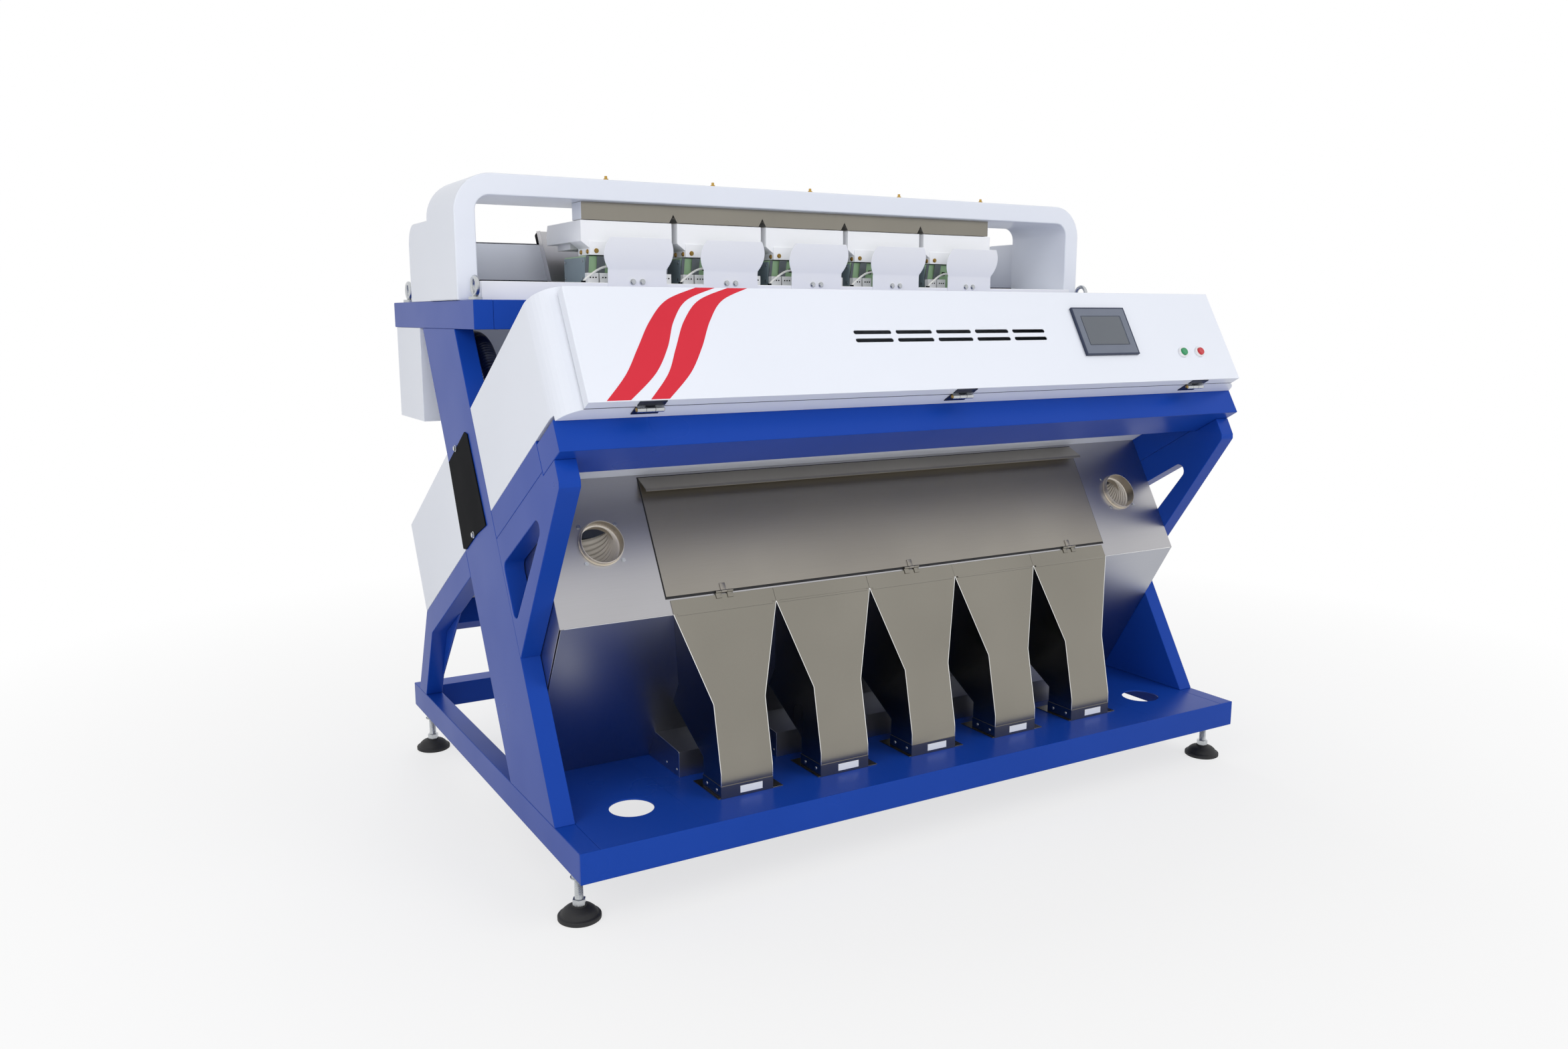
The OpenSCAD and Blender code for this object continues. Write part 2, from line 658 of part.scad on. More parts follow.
// Rear flap hung from its upper edge
module cabinet_flap() color(white) machine() {
    difference() {
        block([-half_w + 8, cabinet_back + gap, cabinet_z + 6],
            [half_w - 8, flap_axis[0] + 4, flap_axis[1] - flap_drop]);
        block([-half_w + 8 + sheet, cabinet_back, cabinet_z + 6 + sheet],
            [half_w - 8 - sheet, flap_axis[0] + 4 - sheet, flap_axis[1] - flap_drop - sheet]);
    }
    for (x = flap_hinge_xs) difference() {
        union() {
            knuckles(x, flap_axis, big_hinge, true);
            leaf(x, big_hinge[0] / 3 - 2 * gap, flap_axis - [2, flap_drop], flap_axis + [2, 0]);
        }
        pin_bore(x, flap_axis, big_hinge);
    }
}

// Feeding

// Outline with round top corners, standing on the top frame
module round_top(half, top, r) {
    translate([-half, top_top]) square([2 * half, top - r - top_top]);
    translate([-half + r, top_top]) square([2 * (half - r), top - top_top]);
    for (s = [-1, 1]) translate([s * (half - r), top - r]) circle(r = r);
}
module from_front(y0, y1) translate([0, y1, 0]) rotate([90, 0, 0]) linear_extrude(y1 - y0) children();
module feeder_hood() color(white) machine() difference() {
    from_front(hood_y, hood_back) round_top(in_x + hood_w, hood_z, hood_r);
    from_front(hood_y - 1, hood_back + 1) translate([0, -1]) round_top(in_x, hood_z - hood_w + 1,
        hood_in_r);
    difference() {
        from_front(hood_y + sheet, hood_back - sheet) difference() {
            round_top(in_x + hood_w - sheet, hood_z - sheet, hood_r - sheet);
            translate([0, -1]) round_top(in_x + sheet, hood_z - hood_w + sheet + 1, hood_in_r + sheet);
        }
        for (k = [0 : channels - 1]) inlet(k, sheet);
    }
    for (k = [0 : channels - 1]) inlet(k, 0);
}
// Passage for grain through the hood's top, with a margin for its walls
module inlet(k, margin) block([channel_x(k) - inlet_w / 2 - margin, hopper_y + steel - margin,
    hood_z - hood_w - 1],
    [channel_x(k) + inlet_w / 2 + margin, hopper_y + hopper_d - steel + margin, hood_z + 1]);

function rear_hood_points(inset) = let (c = [rear_hood_back - rear_hood_r, rear_hood_z - rear_hood_r],
    r = rear_hood_r - inset)
    concat([[hood_back, top_top], [hood_back, rear_hood_z - inset]],
        [for (a = [90 : -10 : 0]) c + r * [cos(a), sin(a)]], [[rear_hood_back - inset, top_top]]);
module rear_hood() color(white) machine() difference() {
    from_side(-half_w, half_w, rear_hood_points(0));
    from_side(-half_w + sheet, half_w - sheet, rear_hood_points(sheet));
    block([-half_w + sheet, hood_back - 1, rear_wall_z],
        [half_w - sheet, rear_hood_back + 1, rear_hood_z + 1]);
    block([-half_w + sheet, hood_back - 1, top_top - 1],
        [half_w - sheet, rear_hood_back - sheet, rear_hood_z + 1]);
}

module feeder_platform() color(white) machine() difference() {
    block([-in_x, platform_y, top_top], [in_x, platform_back, platform_z]);
    block([-in_x + sheet, platform_y + sheet, top_top - 1],
        [in_x - sheet, platform_back - sheet, platform_z - sheet]);
}

module feed_hopper() color(stainless) machine() difference() {
    block([-hopper_half, hopper_y, hopper_z], [hopper_half, hopper_y + hopper_d, hood_z - hood_w]);
    for (k = [0 : channels - 1]) block([channel_x(k) - inlet_w / 2, hopper_y + steel, hopper_z - 1],
        [channel_x(k) + inlet_w / 2, hopper_y + hopper_d - steel, hood_z]);
    for (k = [0 : channels - 2]) translate([channel_x(k) + pitch / 2, hopper_y + hopper_d / 2, 0])
        rotate([90, 0, 0]) linear_extrude(hopper_d, center = true)
            polygon([[-notch[0], hopper_z - 1], [notch[0], hopper_z - 1], [0, hopper_z + notch[1]]]);
}

module feeder_pan(k) color(white) machine() translate([channel_x(k), 0, 0]) {
    difference() {
        from_side(-pan_w / 2, pan_w / 2, pan_side);
        block([-pan_w / 2 + sheet, pan_y + sheet, pan_z + sheet],
            [pan_w / 2 - sheet, pan_end + 1, pan_z + pan_h + 1]);
    }
    difference() {
        from_front(pan_y, bracket_back) bracket_section(0);
        from_front(pan_y + sheet, bracket_back + 1) bracket_section(sheet);
    }
    block([-bracket_half, pan_y - sheet, pan_z - bracket_h], [bracket_half, pan_y, pan_z]);
    difference() {
        block([-bracket_half, skirt_ys[0], pan_z - skirt_h], [bracket_half, skirt_ys[1], pan_z]);
        block([-bracket_half + sheet, skirt_ys[0] + sheet, pan_z - skirt_h - 1],
            [bracket_half - sheet, skirt_ys[1] - sheet, pan_z]);
    }
}
// Section of a pan's bracket, drawn in from the pan's sides, with the sheet's thickness t taken off
module bracket_section(t) {
    half_top = pan_w / 2 - 2 * t;
    half = bracket_half - t;
    polygon([[-half_top, pan_z], [-half, pan_z - shoulder_h], [-half, pan_z - bracket_h - t],
        [half, pan_z - bracket_h - t], [half, pan_z - shoulder_h], [half_top, pan_z]]);
}

// Drive units, each with its armature and two leaf springs
module feeder_magnets() color("#5E8A63") machine() for (k = [0 : channels - 1]) translate([channel_x(k),
    0, 0]) {
    block([-magnet_w / 2, magnet_y, platform_z], [magnet_w / 2, platform_back - 2, magnet_top]);
    block([-30, magnet_y + 20, magnet_top], [30, bracket_back - 20, pan_z - 6]);
    for (y = spring_ys) block([-spring_w / 2, y - spring_t / 2, magnet_top],
        [spring_w / 2, y + spring_t / 2, pan_z - seat]);
}

// Bent plates, straight below and leaning forward above, where their sides swell
module feeder_guards() color(white) machine() for (k = [0 : channels - 1])
    translate([channel_x(k), platform_y, 0]) intersection() {
        from_side(-guard_half - 2 * guard_swell, guard_half + 2 * guard_swell, guard_bend);
        rotate([90, 0, 0]) linear_extrude(2 * guard_len, center = true) polygon(concat(
            guard_ends(1, guard_low), guard_side(1), guard_ends(1, guard_top[1]),
            guard_ends(-1, guard_top[1]), guard_side(-1), guard_ends(-1, guard_low)));
    }
// Point of a guard's outline beyond its lower or upper edge
function guard_ends(s, z) = [[s * guard_half, z < guard_waist ? z - guard_neck : z + guard_neck]];
// Points up the right side of a guard's upper part, or down its left side
function guard_side(s) = [for (i = [0 : 12]) let (t = s > 0 ? i / 12 : 1 - i / 12)
    [s * (guard_half + guard_swell * (1 - pow(2 * t - 1, 2))),
    guard_waist + cos(guard_lean) * (guard_neck + (guard_len - guard_neck) * t)]];
module feeder_leads() color("#EDEDEA") machine() for (k = [0 : channels - 1])
    sweep([for (p = lead_route) p + [channel_x(k), 0, 0]], lead_d, 8);

// Side outline of a chute between two planes, cut level at its upper end
function chute_side(n0, n1, m0, z1) = [lean(n0, m0), lean(n1, m0), [y_at(n1, z1), z1], [y_at(n0, z1), z1]];
module chutes() color(stainless) machine() for (k = [0 : channels - 1]) translate([channel_x(k), 0,
    0]) difference() {
    from_side(-chute_w / 2, chute_w / 2,
        chute_side(chute_n - chute_wall_h, chute_n + steel, chute_end_m, chute_z));
    from_side(-chute_w / 2 + steel, chute_w / 2 - steel,
        chute_side(chute_n - chute_wall_h - 1, chute_n, chute_end_m - 1, chute_z + 1));
}
module chute_bars() color(zinc) leaning() {
    block([-in_x, chute_bar_n, chute_bar_ms[0]], [in_x, chute_bar_n + bar_s, chute_bar_ms[0] + bar_s]);
    block([-half_w + sheet, chute_bar_n, chute_bar_ms[1]],
        [half_w - sheet, chute_bar_n + bar_s, chute_bar_ms[1] + bar_s]);
    block([-bank_w / 2, chute_bar_n, head_bar_m],
        [bank_w / 2, chute_bar_n + head_bar[0], head_bar_m + head_bar[1]]);
}

// Collecting hopper and spouts

module front_panel() color(stainless) leaning() difference() {
    block([-in_x + gap, panel_n, fold_m], [in_x - gap, panel_n + steel, cross_top]);
    block([-inspect_w / 2 + 25, panel_n - 1, inspect_m + 20],
        [inspect_w / 2 - 25, panel_n + steel + 1, inspect_m + inspect_h - 40]);
    for (s = [-1, 1]) square_to_leg(s * port_x, port_m, panel_n - 1, panel_n + steel + 1,
        port_d / 2 - 3 + seat);
}

module inspection_door() color(stainless) leaning() {
    face = panel_n - gap;
    top = inspect_m + inspect_h;
    bend = top - lip_drop;
    block([-inspect_w / 2, face - steel, inspect_m], [inspect_w / 2, face, top]);
    from_side(-inspect_w / 2, inspect_w / 2, [[face, top], [face - steel, top],
        [face - lip_out, bend], [face - lip_out, bend - hem_h], [face - lip_out + steel, bend - hem_h],
        [face - lip_out + steel, bend - steel / 3], [face, top - steel / 3]]);
    for (x = inspect_hinge_xs) difference() {
        union() {
            knuckles(x, inspect_axis, small_hinge, true);
            leaf(x, small_hinge[0] / 3 - 2 * gap, [face - steel - leaf_t, inspect_axis[1]],
                [face - steel, inspect_m + 18]);
        }
        pin_bore(x, inspect_axis, small_hinge);
    }
}

module port_collars() color(stainless) leaning() for (s = [-1, 1]) difference() {
    union() {
        square_to_leg(s * port_x, port_m, panel_n - collar_out, panel_n + collar_tail, port_d / 2 - 3);
        square_to_leg(s * port_x, port_m, header_n, panel_n, port_d / 2);
    }
    square_to_leg(s * port_x, port_m, panel_n - collar_out - 1, panel_n + collar_tail + 1, port_d / 2 - 5);
}
// Ribbed dust hoses pushed over the collars' tails behind the panel
module port_hoses() color("#C9CBD0") leaning() for (s = [-1, 1]) difference() {
    square_to_leg(s * port_x, port_m, panel_n + steel, panel_n + hose_len, port_d / 2 + 1);
    square_to_leg(s * port_x, port_m, panel_n, panel_n + hose_len + 1, port_d / 2 - 3 + seat);
}

module hopper_floor() color(stainless) machine() difference() {
    from_side(-hop_x, hop_x, [floor_top, [floor_foot, sill_h], [floor_foot + floor_run, sill_h],
        lean(panel_n + seat + floor_lap, fold_m - seat)]);
    for (k = [0 : channels - 1]) {
        block([channel_x(k) - spout_w / 2 + 8, fold[0], spout_in_z + 8],
            [channel_x(k) + spout_w / 2 - 8, deck_d, fold[1] - 30]);
        block([channel_x(k) - rear_spout_w / 2 + 8, fold[0], sill_h + 8],
            [channel_x(k) + rear_spout_w / 2 - 8, deck_d, rear_in_z - 12]);
    }
}
module hopper_walls() color(stainless) {
    leaning() block([-in_x + gap, back_n - steel, m_at(back_n, sill_h)], [in_x - gap, back_n, cross_top]);
    machine() both_sides() from_side(-in_x + gap, -hop_x,
        [lean(wall_front, cross_top), lean(wall_front, fold_m + 6),
        [floor_foot + floor_run, sill_h], lean(wall_back, m_at(back_n, sill_h) + 2),
            lean(wall_back, cross_top)]);
    leaning() block([seat - hop_x, splitter_n, splitter_m],
        [hop_x - seat, splitter_n + steel, splitter_m + splitter_h]);
}

// Outline of a front spout from the front: full width at the fold, drawn in to the waist
function spout_front(x, half_top, half, low) = [[x - half_top, spout_top[1]], [x - half, waist_z],
    [x - half, low],
    [x + half, low], [x + half, waist_z], [x + half_top, spout_top[1]]];
// Outline of a front spout from the side, with its plates' thickness t taken off
function spout_side(t) = [spout_top + [t, 0], [waist_y + t, waist_z], [spout_y + t, collar_z],
    [spout_y + t, sill_h],
    [spout_y + spout_d - t, sill_h], [spout_y + spout_d - t, spout_floor_z + t],
    [floor_y(spout_in_z) - seat, spout_in_z + t]];
module front_spout(k) color(stainless) {
    x = channel_x(k);
    machine() difference() {
        union() {
            intersection() {
                from_side(x - pitch / 2, x + pitch / 2, spout_side(0));
                from_front(0, deck_d) polygon(spout_front(x, (pitch - gap) / 2, spout_w / 2, sill_h));
            }
            block([x - spout_w / 2 - 8, spout_y, sill_h],
                [x + spout_w / 2 + 31, spout_y + spout_d + 44, sill_h + 2]);
            block([x - spout_w / 2 - 1.5, spout_y - 1.5, sill_h],
                [x + spout_w / 2 + 1.5, spout_y + spout_d + 1.5, sill_h + 32]);
        }
        intersection() {
            from_side(x - pitch / 2, x + pitch / 2, concat(spout_side(steel),
                [[floor_y(spout_in_z) + 12, spout_in_z + steel],
                spout_top + [14, 0]]));
            from_front(0, deck_d) polygon(spout_front(x, (pitch - gap) / 2 - steel, spout_w / 2 - steel,
                sill_h - 1));
        }
        block([x - spout_w / 2 + steel, spout_y + steel, sill_h - 1],
            [x + spout_w / 2 - steel, spout_y + spout_d - steel, sill_h + 40]);
    }
    leaning() {
        block([x - pitch / 2 + gap / 2, header_n, fold_m],
            [x + pitch / 2 - gap / 2, panel_n, fold_m + header_h]);
        block([x - pitch / 2 + 10, header_n, fold_m - 5], [x + pitch / 2 - 10, panel_n, fold_m + 1]);
    }
}

module rear_spouts() color(stainless) machine() for (k = [0 : channels - 1]) {
    x = channel_x(k);
    difference() {
        from_side(x - rear_spout_w / 2, x + rear_spout_w / 2, rear_side);
        from_side(x - rear_spout_w / 2 + steel, x + rear_spout_w / 2 - steel,
            [[rear_spout_y + steel, sill_h - 1],
            [rear_spout_y + steel, rear_spout_z - steel],
                [floor_y(rear_in_z) + 8, rear_in_z - steel], [floor_foot + 8, sill_h - 1]]);
    }
}

// Sorting

module ejector_manifold() color("#8E9196") leaning() {
    difference() {
        block([-manifold_x, back_n - steel - manifold_d, ejector_top - manifold_h],
            [manifold_x, back_n - steel, ejector_top]);
        across(-manifold_x + 20, manifold_x - 20, [back_n - steel - manifold_d / 2,
            ejector_top - manifold_h / 2], 14);
        for (k = [-30 : 30]) square_to_leg(k * pitch / 12, ejector_top - manifold_h / 2,
            back_n - steel - manifold_d - 1,
            back_n - steel - manifold_d / 2, 2.5);
    }
    for (k = [-10 : 10]) block([k * pitch / 4 - 24, back_n - steel - manifold_d + 8,
        ejector_top - manifold_h - 38],
        [k * pitch / 4 + 24, back_n - steel - 8, ejector_top - manifold_h - seat]);
}

module cameras() color("#4A4D52") leaning() for (side = [[leg_n, -1], [leg_back, 1]]) {
    n0 = side[0] + side[1] * camera_dn;
    block([-half_w + sheet, n0 - 20, view_m - 52], [half_w - sheet, n0 + 20, view_m - 40]);
    for (k = [0 : channels - 1]) {
        block([channel_x(k) - 35, n0 - 45, view_m - 40 + seat], [channel_x(k) + 35, n0 + 45, view_m + 40]);
        square_to_leg(channel_x(k), view_m, n0 - side[1] * 45 - (side[1] > 0 ? 60 : 0),
            n0 - side[1] * 45 + (side[1] > 0 ? 0 : 60), 26);
    }
}
module lamps() color("#F2F4F6") leaning() for (n = [[leg_n - sheet - 34, leg_n - sheet],
    [leg_back + sheet, leg_back + sheet + 34]],
    m = [window_m - glass_lap - 30, window_m + window_h + glass_lap + 2])
    block([-window_w / 2, n[0], m], [window_w / 2, n[1], m + 28]);
module windows() color([0.75, 0.85, 0.88, 0.4]) leaning()
    for (n = [leg_n - sheet - glass_t, leg_back + sheet])
        block([-window_w / 2 - glass_lap, n, window_m - glass_lap],
            [window_w / 2 + glass_lap, n + glass_t, window_m + window_h + glass_lap]);

// One wiper on the stream side of each window, hooked over its rail
module wiper() {
    block([wiper_rest, 0.3 - sheet, window_m + 3], [wiper_rest + wiper_w, 14, window_m + window_h - 3]);
    block([wiper_rest, 0.3 + gap, window_m + window_h - 20], [wiper_rest + wiper_w, 14, rail_m - gap]);
    block([wiper_rest, rail_s + gap, rail_m - 4], [wiper_rest + wiper_w, rail_s + 8, rail_m + rail_s + 8]);
    block([wiper_rest, gap, rail_m + rail_s + gap], [wiper_rest + wiper_w, rail_s + 8,
        rail_m + rail_s + 8]);
}
module window_wipers() color(black) leaning() {
    translate([0, leg_n, 0]) wiper();
    translate([0, leg_back, 0]) mirror([0, 1, 0]) wiper();
}

module air_hose() color("#1C2440") machine() {
    start = [[cabinet_y - seat, hose_z], [cabinet_y - hose_d / 2, hose_z]];
    end = [lean(hose_n, ejector_top + 2 * hose_d), lean(hose_n, ejector_top + hose_d),
        lean(hose_n, ejector_top + seat)];
    sweep([for (p = concat(start, hose_route, end)) [hose_x, p[0], p[1]]], hose_d, 12);
}

module fasteners() color(zinc) {
    machine() for (k = [0 : channels - 1], s = [-1, 1]) translate([channel_x(k) + s * 14,
        platform_y - guard_t, top_top + 51])
        rotate([90, 0, 0]) cylinder(h = 6, r = 7);
    machine() both_sides() for (p = plate_bolts) translate([-half_w - plate_t, p[0], p[1]])
        rotate([0, -90, 0]) cylinder(h = 5, r = 7);
    leaning() for (s = [-1, 1], i = [-1, 1], j = [-1, 1])
        square_to_leg(s * port_x + i * hole_off, port_m + j * hole_off, panel_n - 3, panel_n, 5);
    machine() for (k = [-2 : 2]) translate([k * stud_pitch, hood_y + 12, hood_z]) cylinder(h = 10, r = 4);
    machine() translate([15 - in_x, platform_y, top_top + 6]) rotate([90, 0, 0]) cylinder(h = 8, r = 6);
}

base_deck();
deck_plate();
side_sills();
main_legs();
cross_legs();
front_crossbeam();
rear_crossbeams();
top_side_beams();
top_crossbeams();
gusset_plates();
leveling_pads();
leveling_studs();
lifting_eyes();
leg_cover_plates();
front_box_shell();
front_door();
fixed_hinge_leaves();
door_hinge_leaves();
touch_screen();
screen_glass();
button_collars();
green_button();
red_button();
rear_box_shell();
rear_service_panel();
electrical_cabinet();
cabinet_flap();
feeder_hood();
rear_hood();
feeder_platform();
feed_hopper();
for (k = [0 : channels - 1]) feeder_pan(k);
feeder_magnets();
feeder_guards();
feeder_leads();
chutes();
chute_bars();
front_panel();
inspection_door();
port_collars();
port_hoses();
hopper_floor();
hopper_walls();
for (k = [0 : channels - 1]) front_spout(k);
rear_spouts();
ejector_manifold();
cameras();
lamps();
windows();
window_wipers();
air_hose();
fasteners();
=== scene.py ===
"""Looks of an optical colour sorter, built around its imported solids.

The solids give every main form. Here their edges are rounded as folded and welded metal is, each finish
is made from nodes, and screws, rivets, ribs, hoses and other small things are added. Sizes are in
millimetres in the machine's own frame, x across, y from the front lip, z from the sills' underside, or
square to the leaning main legs (n) and along them (m).
"""

import json
import logging
import math
from dataclasses import dataclass, replace
from enum import Enum
from functools import partial
from typing import Any, Callable, Sequence

import bmesh
import bpy
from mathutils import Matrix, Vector


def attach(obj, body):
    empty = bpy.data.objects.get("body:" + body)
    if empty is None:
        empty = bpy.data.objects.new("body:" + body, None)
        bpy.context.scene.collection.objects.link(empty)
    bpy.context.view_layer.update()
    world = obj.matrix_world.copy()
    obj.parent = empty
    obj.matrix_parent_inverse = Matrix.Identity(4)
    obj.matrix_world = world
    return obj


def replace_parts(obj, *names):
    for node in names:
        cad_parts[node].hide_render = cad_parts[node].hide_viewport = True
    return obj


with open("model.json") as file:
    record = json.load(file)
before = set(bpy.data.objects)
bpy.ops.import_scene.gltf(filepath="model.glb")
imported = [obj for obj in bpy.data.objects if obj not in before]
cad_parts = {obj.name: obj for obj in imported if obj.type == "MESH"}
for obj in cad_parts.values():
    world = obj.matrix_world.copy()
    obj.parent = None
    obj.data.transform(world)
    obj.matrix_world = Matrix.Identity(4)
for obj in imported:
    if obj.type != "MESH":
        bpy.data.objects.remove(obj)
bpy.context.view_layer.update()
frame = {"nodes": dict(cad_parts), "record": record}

LOG = logging.getLogger("sorter")
MM = 0.001
TILT = math.radians(30.0)
FRAME_DEPTH = 1460.0
FOOT_HEIGHT = 118.0
HALF_WIDTH = 1050.0
PITCH = 285.5
CHANNELS = tuple((k - 2) * PITCH for k in range(5))
# Angle between two faces from which their edge is rounded
EDGE_TURN = math.radians(35.0)
# Angle up to which the triangles of a solid are one flat face
FLAT_TURN = math.radians(0.4)
# Angle up to which screws and hoses are shaded as one smooth surface
SMOOTH_TURN = math.radians(40.0)
# Distance within which corners of loose triangles are one corner
WELD_MM = 0.02
WASHER_MM = 2.4
# Pitch and depth of the ribs of a tube that has none
PLAIN = (10.0, 0.0)
# Range that a noise keeps to for the most part
NOISE_RANGE = (0.15, 0.85)

Pair = tuple[float, float]
Point = tuple[float, float, float]
Route = Sequence[Vector]
Spots = list[tuple[Vector, Vector]]
Place = Callable[[float, float, float], Vector]
Test = Callable[[Vector], bool]
Inputs = dict[str | int, Any]
Mesh = bpy.types.Mesh
Shape = bmesh.types.BMesh
Piece = bpy.types.Object
Tree = bpy.types.NodeTree
Socket = bpy.types.NodeSocket


class Body(str, Enum):
    """Bodies of the machine that new pieces ride on."""

    FRAME = "frame"
    DOOR = "front_door"
    GREEN = "green_button"
    RED = "red_button"
    FLAP = "cabinet_flap"


class Head(Enum):
    """Kinds of fastener head."""

    HEX = "hex"
    PAN = "pan"
    RIVET = "rivet"


def machine_point(x: float, y: float, z: float) -> Vector:
    """Turns millimetres in the machine's frame into a point of the scene."""
    return Vector((x, y - FRAME_DEPTH / 2, z + FOOT_HEIGHT)) * MM


def lean_point(x: float, n: float, m: float) -> Vector:
    """Turns a place by the leaning main legs into a point of the scene.

    Args:
        x: millimetres across.
        n: millimetres square to the legs.
        m: millimetres along them.

    Returns:
        The point.
    """
    y = n * math.cos(TILT) + m * math.sin(TILT)
    z = m * math.cos(TILT) - n * math.sin(TILT)
    return machine_point(x, y, z)


OUT_OF_DOOR = Vector((0.0, -math.cos(TILT), math.sin(TILT)))
UP = Vector((0.0, 0.0, 1.0))
LEFT = Vector((-1.0, 0.0, 0.0))
RIGHT = Vector((1.0, 0.0, 0.0))
FORWARD = Vector((0.0, -1.0, 0.0))
BACK = Vector((0.0, 1.0, 0.0))


def linear(code: str) -> tuple[float, float, float, float]:
    """Turns an sRGB hex colour into a linear one.

    Args:
        code: colour such as "#1D3F94".

    Returns:
        Red, green, blue and alpha.
    """
    parts = [int(code[i:i + 2], 16) / 255 for i in (1, 3, 5)]
    straight = [p / 12.92 if p <= 0.04045 else ((p + 0.055) / 1.055) ** 2.4 for p in parts]
    return (straight[0], straight[1], straight[2], 1.0)


def feed(tree: Tree, node: bpy.types.Node, inputs: Inputs) -> None:
    """Links or sets inputs of a node.

    Args:
        tree: tree that holds the node.
        node: node to feed.
        inputs: for each input, a socket to link from, a list of them, or a plain value.
    """
    for key, given in inputs.items():
        for value in given if isinstance(given, list) else [given]:
            if isinstance(value, Socket):
                tree.links.new(value, node.inputs[key])
            else:
                node.inputs[key].default_value = value


def add_node(
    tree: Tree, kind: str, inputs: Inputs | None = None, out: str | int | None = 0, **settings: Any
) -> Any:
    """Adds a node with its settings and links.

    Args:
        tree: tree that gets the node.
        kind: Blender's name of the node's type.
        inputs: for each input, a socket to link from, a list of them, or a plain value.
        out: name or number of the output that is wanted, or None for all of them.
        settings: the node's own properties.

    Returns:
        The output, or all of them.
    """
    node = tree.nodes.new(kind)
    for key, value in settings.items():
        setattr(node, key, value)
    feed(tree, node, inputs or {})
    return node.outputs if out is None else node.outputs[out]


@dataclass(frozen=True)
class Finish:
    """A surface: what it is made of and how it was made.

    The colour drifts towards a second one in soft clouds, the gloss varies with them, and a fine grain
    gives the bump. The grain can be stretched, as brushing or rolling leaves it. Light passes through clear
    glass and plastic.
    """

    name: str
    colour: str
    shade: str
    roughness: float
    metallic: float = 0.0
    ior: float = 1.5
    coat: float = 0.0
    coat_roughness: float = 0.08
    mirror: float = 0.5
    cloud_mm: float = 140.0
    cloud: float = 0.35
    gloss_spread: float = 0.05
    grain_mm: float = 3.0
    grain_depth_mm: float = 0.02
    stretch: Point = (1.0, 1.0, 1.0)
    streak: float = 0.0
    passing: float = 0.0

    def like(self, name: str, colour: str, shade: str, roughness: float, **changes: Any) -> "Finish":
        """Gives a finish that differs from this one in its colours, gloss and named values."""
        return replace(self, name=name, colour=colour, shade=shade, roughness=roughness, **changes)

    def make(self) -> bpy.types.Material:
        """Builds the material from nodes on Object coordinates.

        Returns:
            The material.
        """
        material = bpy.data.materials.new(self.name)
        material.use_nodes = True
        tree = material.node_tree
        add = partial(add_node, tree)
        place = add("ShaderNodeTexCoord", out="Object")
        drawn = add("ShaderNodeMapping", {"Vector": place, "Scale": self.stretch})
        cloudy = {"Vector": place, "Scale": 1000 / self.cloud_mm, "Detail": 2.0}
        clouds = add("ShaderNodeTexNoise", cloudy, "Fac")
        grainy = {"Vector": drawn, "Scale": 1000 / self.grain_mm, "Detail": 2.0}
        grain = add("ShaderNodeTexNoise", grainy, "Fac")
        spread = {"Value": clouds, "From Min": NOISE_RANGE[0], "From Max": NOISE_RANGE[1]}
        tone = add("ShaderNodeMapRange", {**spread, "To Min": 0.0, "To Max": self.cloud}, clamp=False)
        low, high = self.roughness - self.gloss_spread, self.roughness + self.gloss_spread
        gloss = add("ShaderNodeMapRange", {**spread, "To Min": low, "To Max": high}, clamp=False)
        streaky = {0: grain, 1: self.streak, 2: tone}
        drift = add("ShaderNodeMath", streaky, operation="MULTIPLY_ADD", use_clamp=True)
        tones = {0: drift, 6: linear(self.colour), 7: linear(self.shade)}
        inputs = {
            "Base Color": add("ShaderNodeMix", tones, 2, data_type="RGBA"),
            "Roughness": gloss,
            "Normal": add("ShaderNodeBump", {"Height": grain, "Distance": self.grain_depth_mm * MM}),
            "Metallic": self.metallic,
            "Coat Weight": self.coat,
            "Coat Roughness": self.coat_roughness,
            "Specular IOR Level": self.mirror,
            "Transmission Weight": self.passing,
        }
        if self.metallic < 0.5:
            inputs["IOR"] = self.ior
        feed(tree, tree.nodes["Principled BSDF"], inputs)
        return material


# Baked enamel over welded steel: deep blue with a soft gloss and a faint orange peel
ENAMEL_BLUE = Finish("baked_enamel_blue", "#1743A4", "#123A92", 0.3, mirror=0.12, cloud_mm=260, grain_mm=5)
# Powder coat over folded steel: even satin with a fine pebble, which fades into a soft highlight
POWDER_WHITE = Finish(
    "powder_coat_white", "#E6EAF4", "#DDE2EC", 0.4, coat=0.1, mirror=0.4, cloud_mm=420, grain_mm=2.5
)
# The same coat on the small sheets under the hood, whiter as painted light that lifts the shade the hood
# casts on them
POWDER_WHITE_LIT = POWDER_WHITE.like("powder_coat_fresh_white", "#F8F9FC", "#F1F3F8", 0.4)
# Cold-rolled stainless sheet of the panel: pale, cool grey that mirrors softly, with long faint streaks
STAINLESS = Finish(
    "rolled_stainless_sheet", "#BFBEC1", "#A7A6A8", 0.33, 1.0, cloud_mm=420, cloud=0.4, grain_mm=1.6,
    grain_depth_mm=0.008, stretch=(0.02, 1.0, 1.0), streak=0.25,
)
# Brushed stainless of the inspection door: warmer, and a little darker as painted shade
STAINLESS_WARM_SHADED = STAINLESS.like("brushed_stainless_warm", "#A8A39A", "#938E86", 0.4, cloud_mm=380)
# The same sheet with its grain running down, as the spouts are cut, and darker as painted shade
STAINLESS_DOWN_SHADED = STAINLESS.like(
    "brushed_stainless_down", "#938F86", "#7D7A71", 0.24, cloud_mm=300, stretch=(1.0, 1.0, 0.02)
)
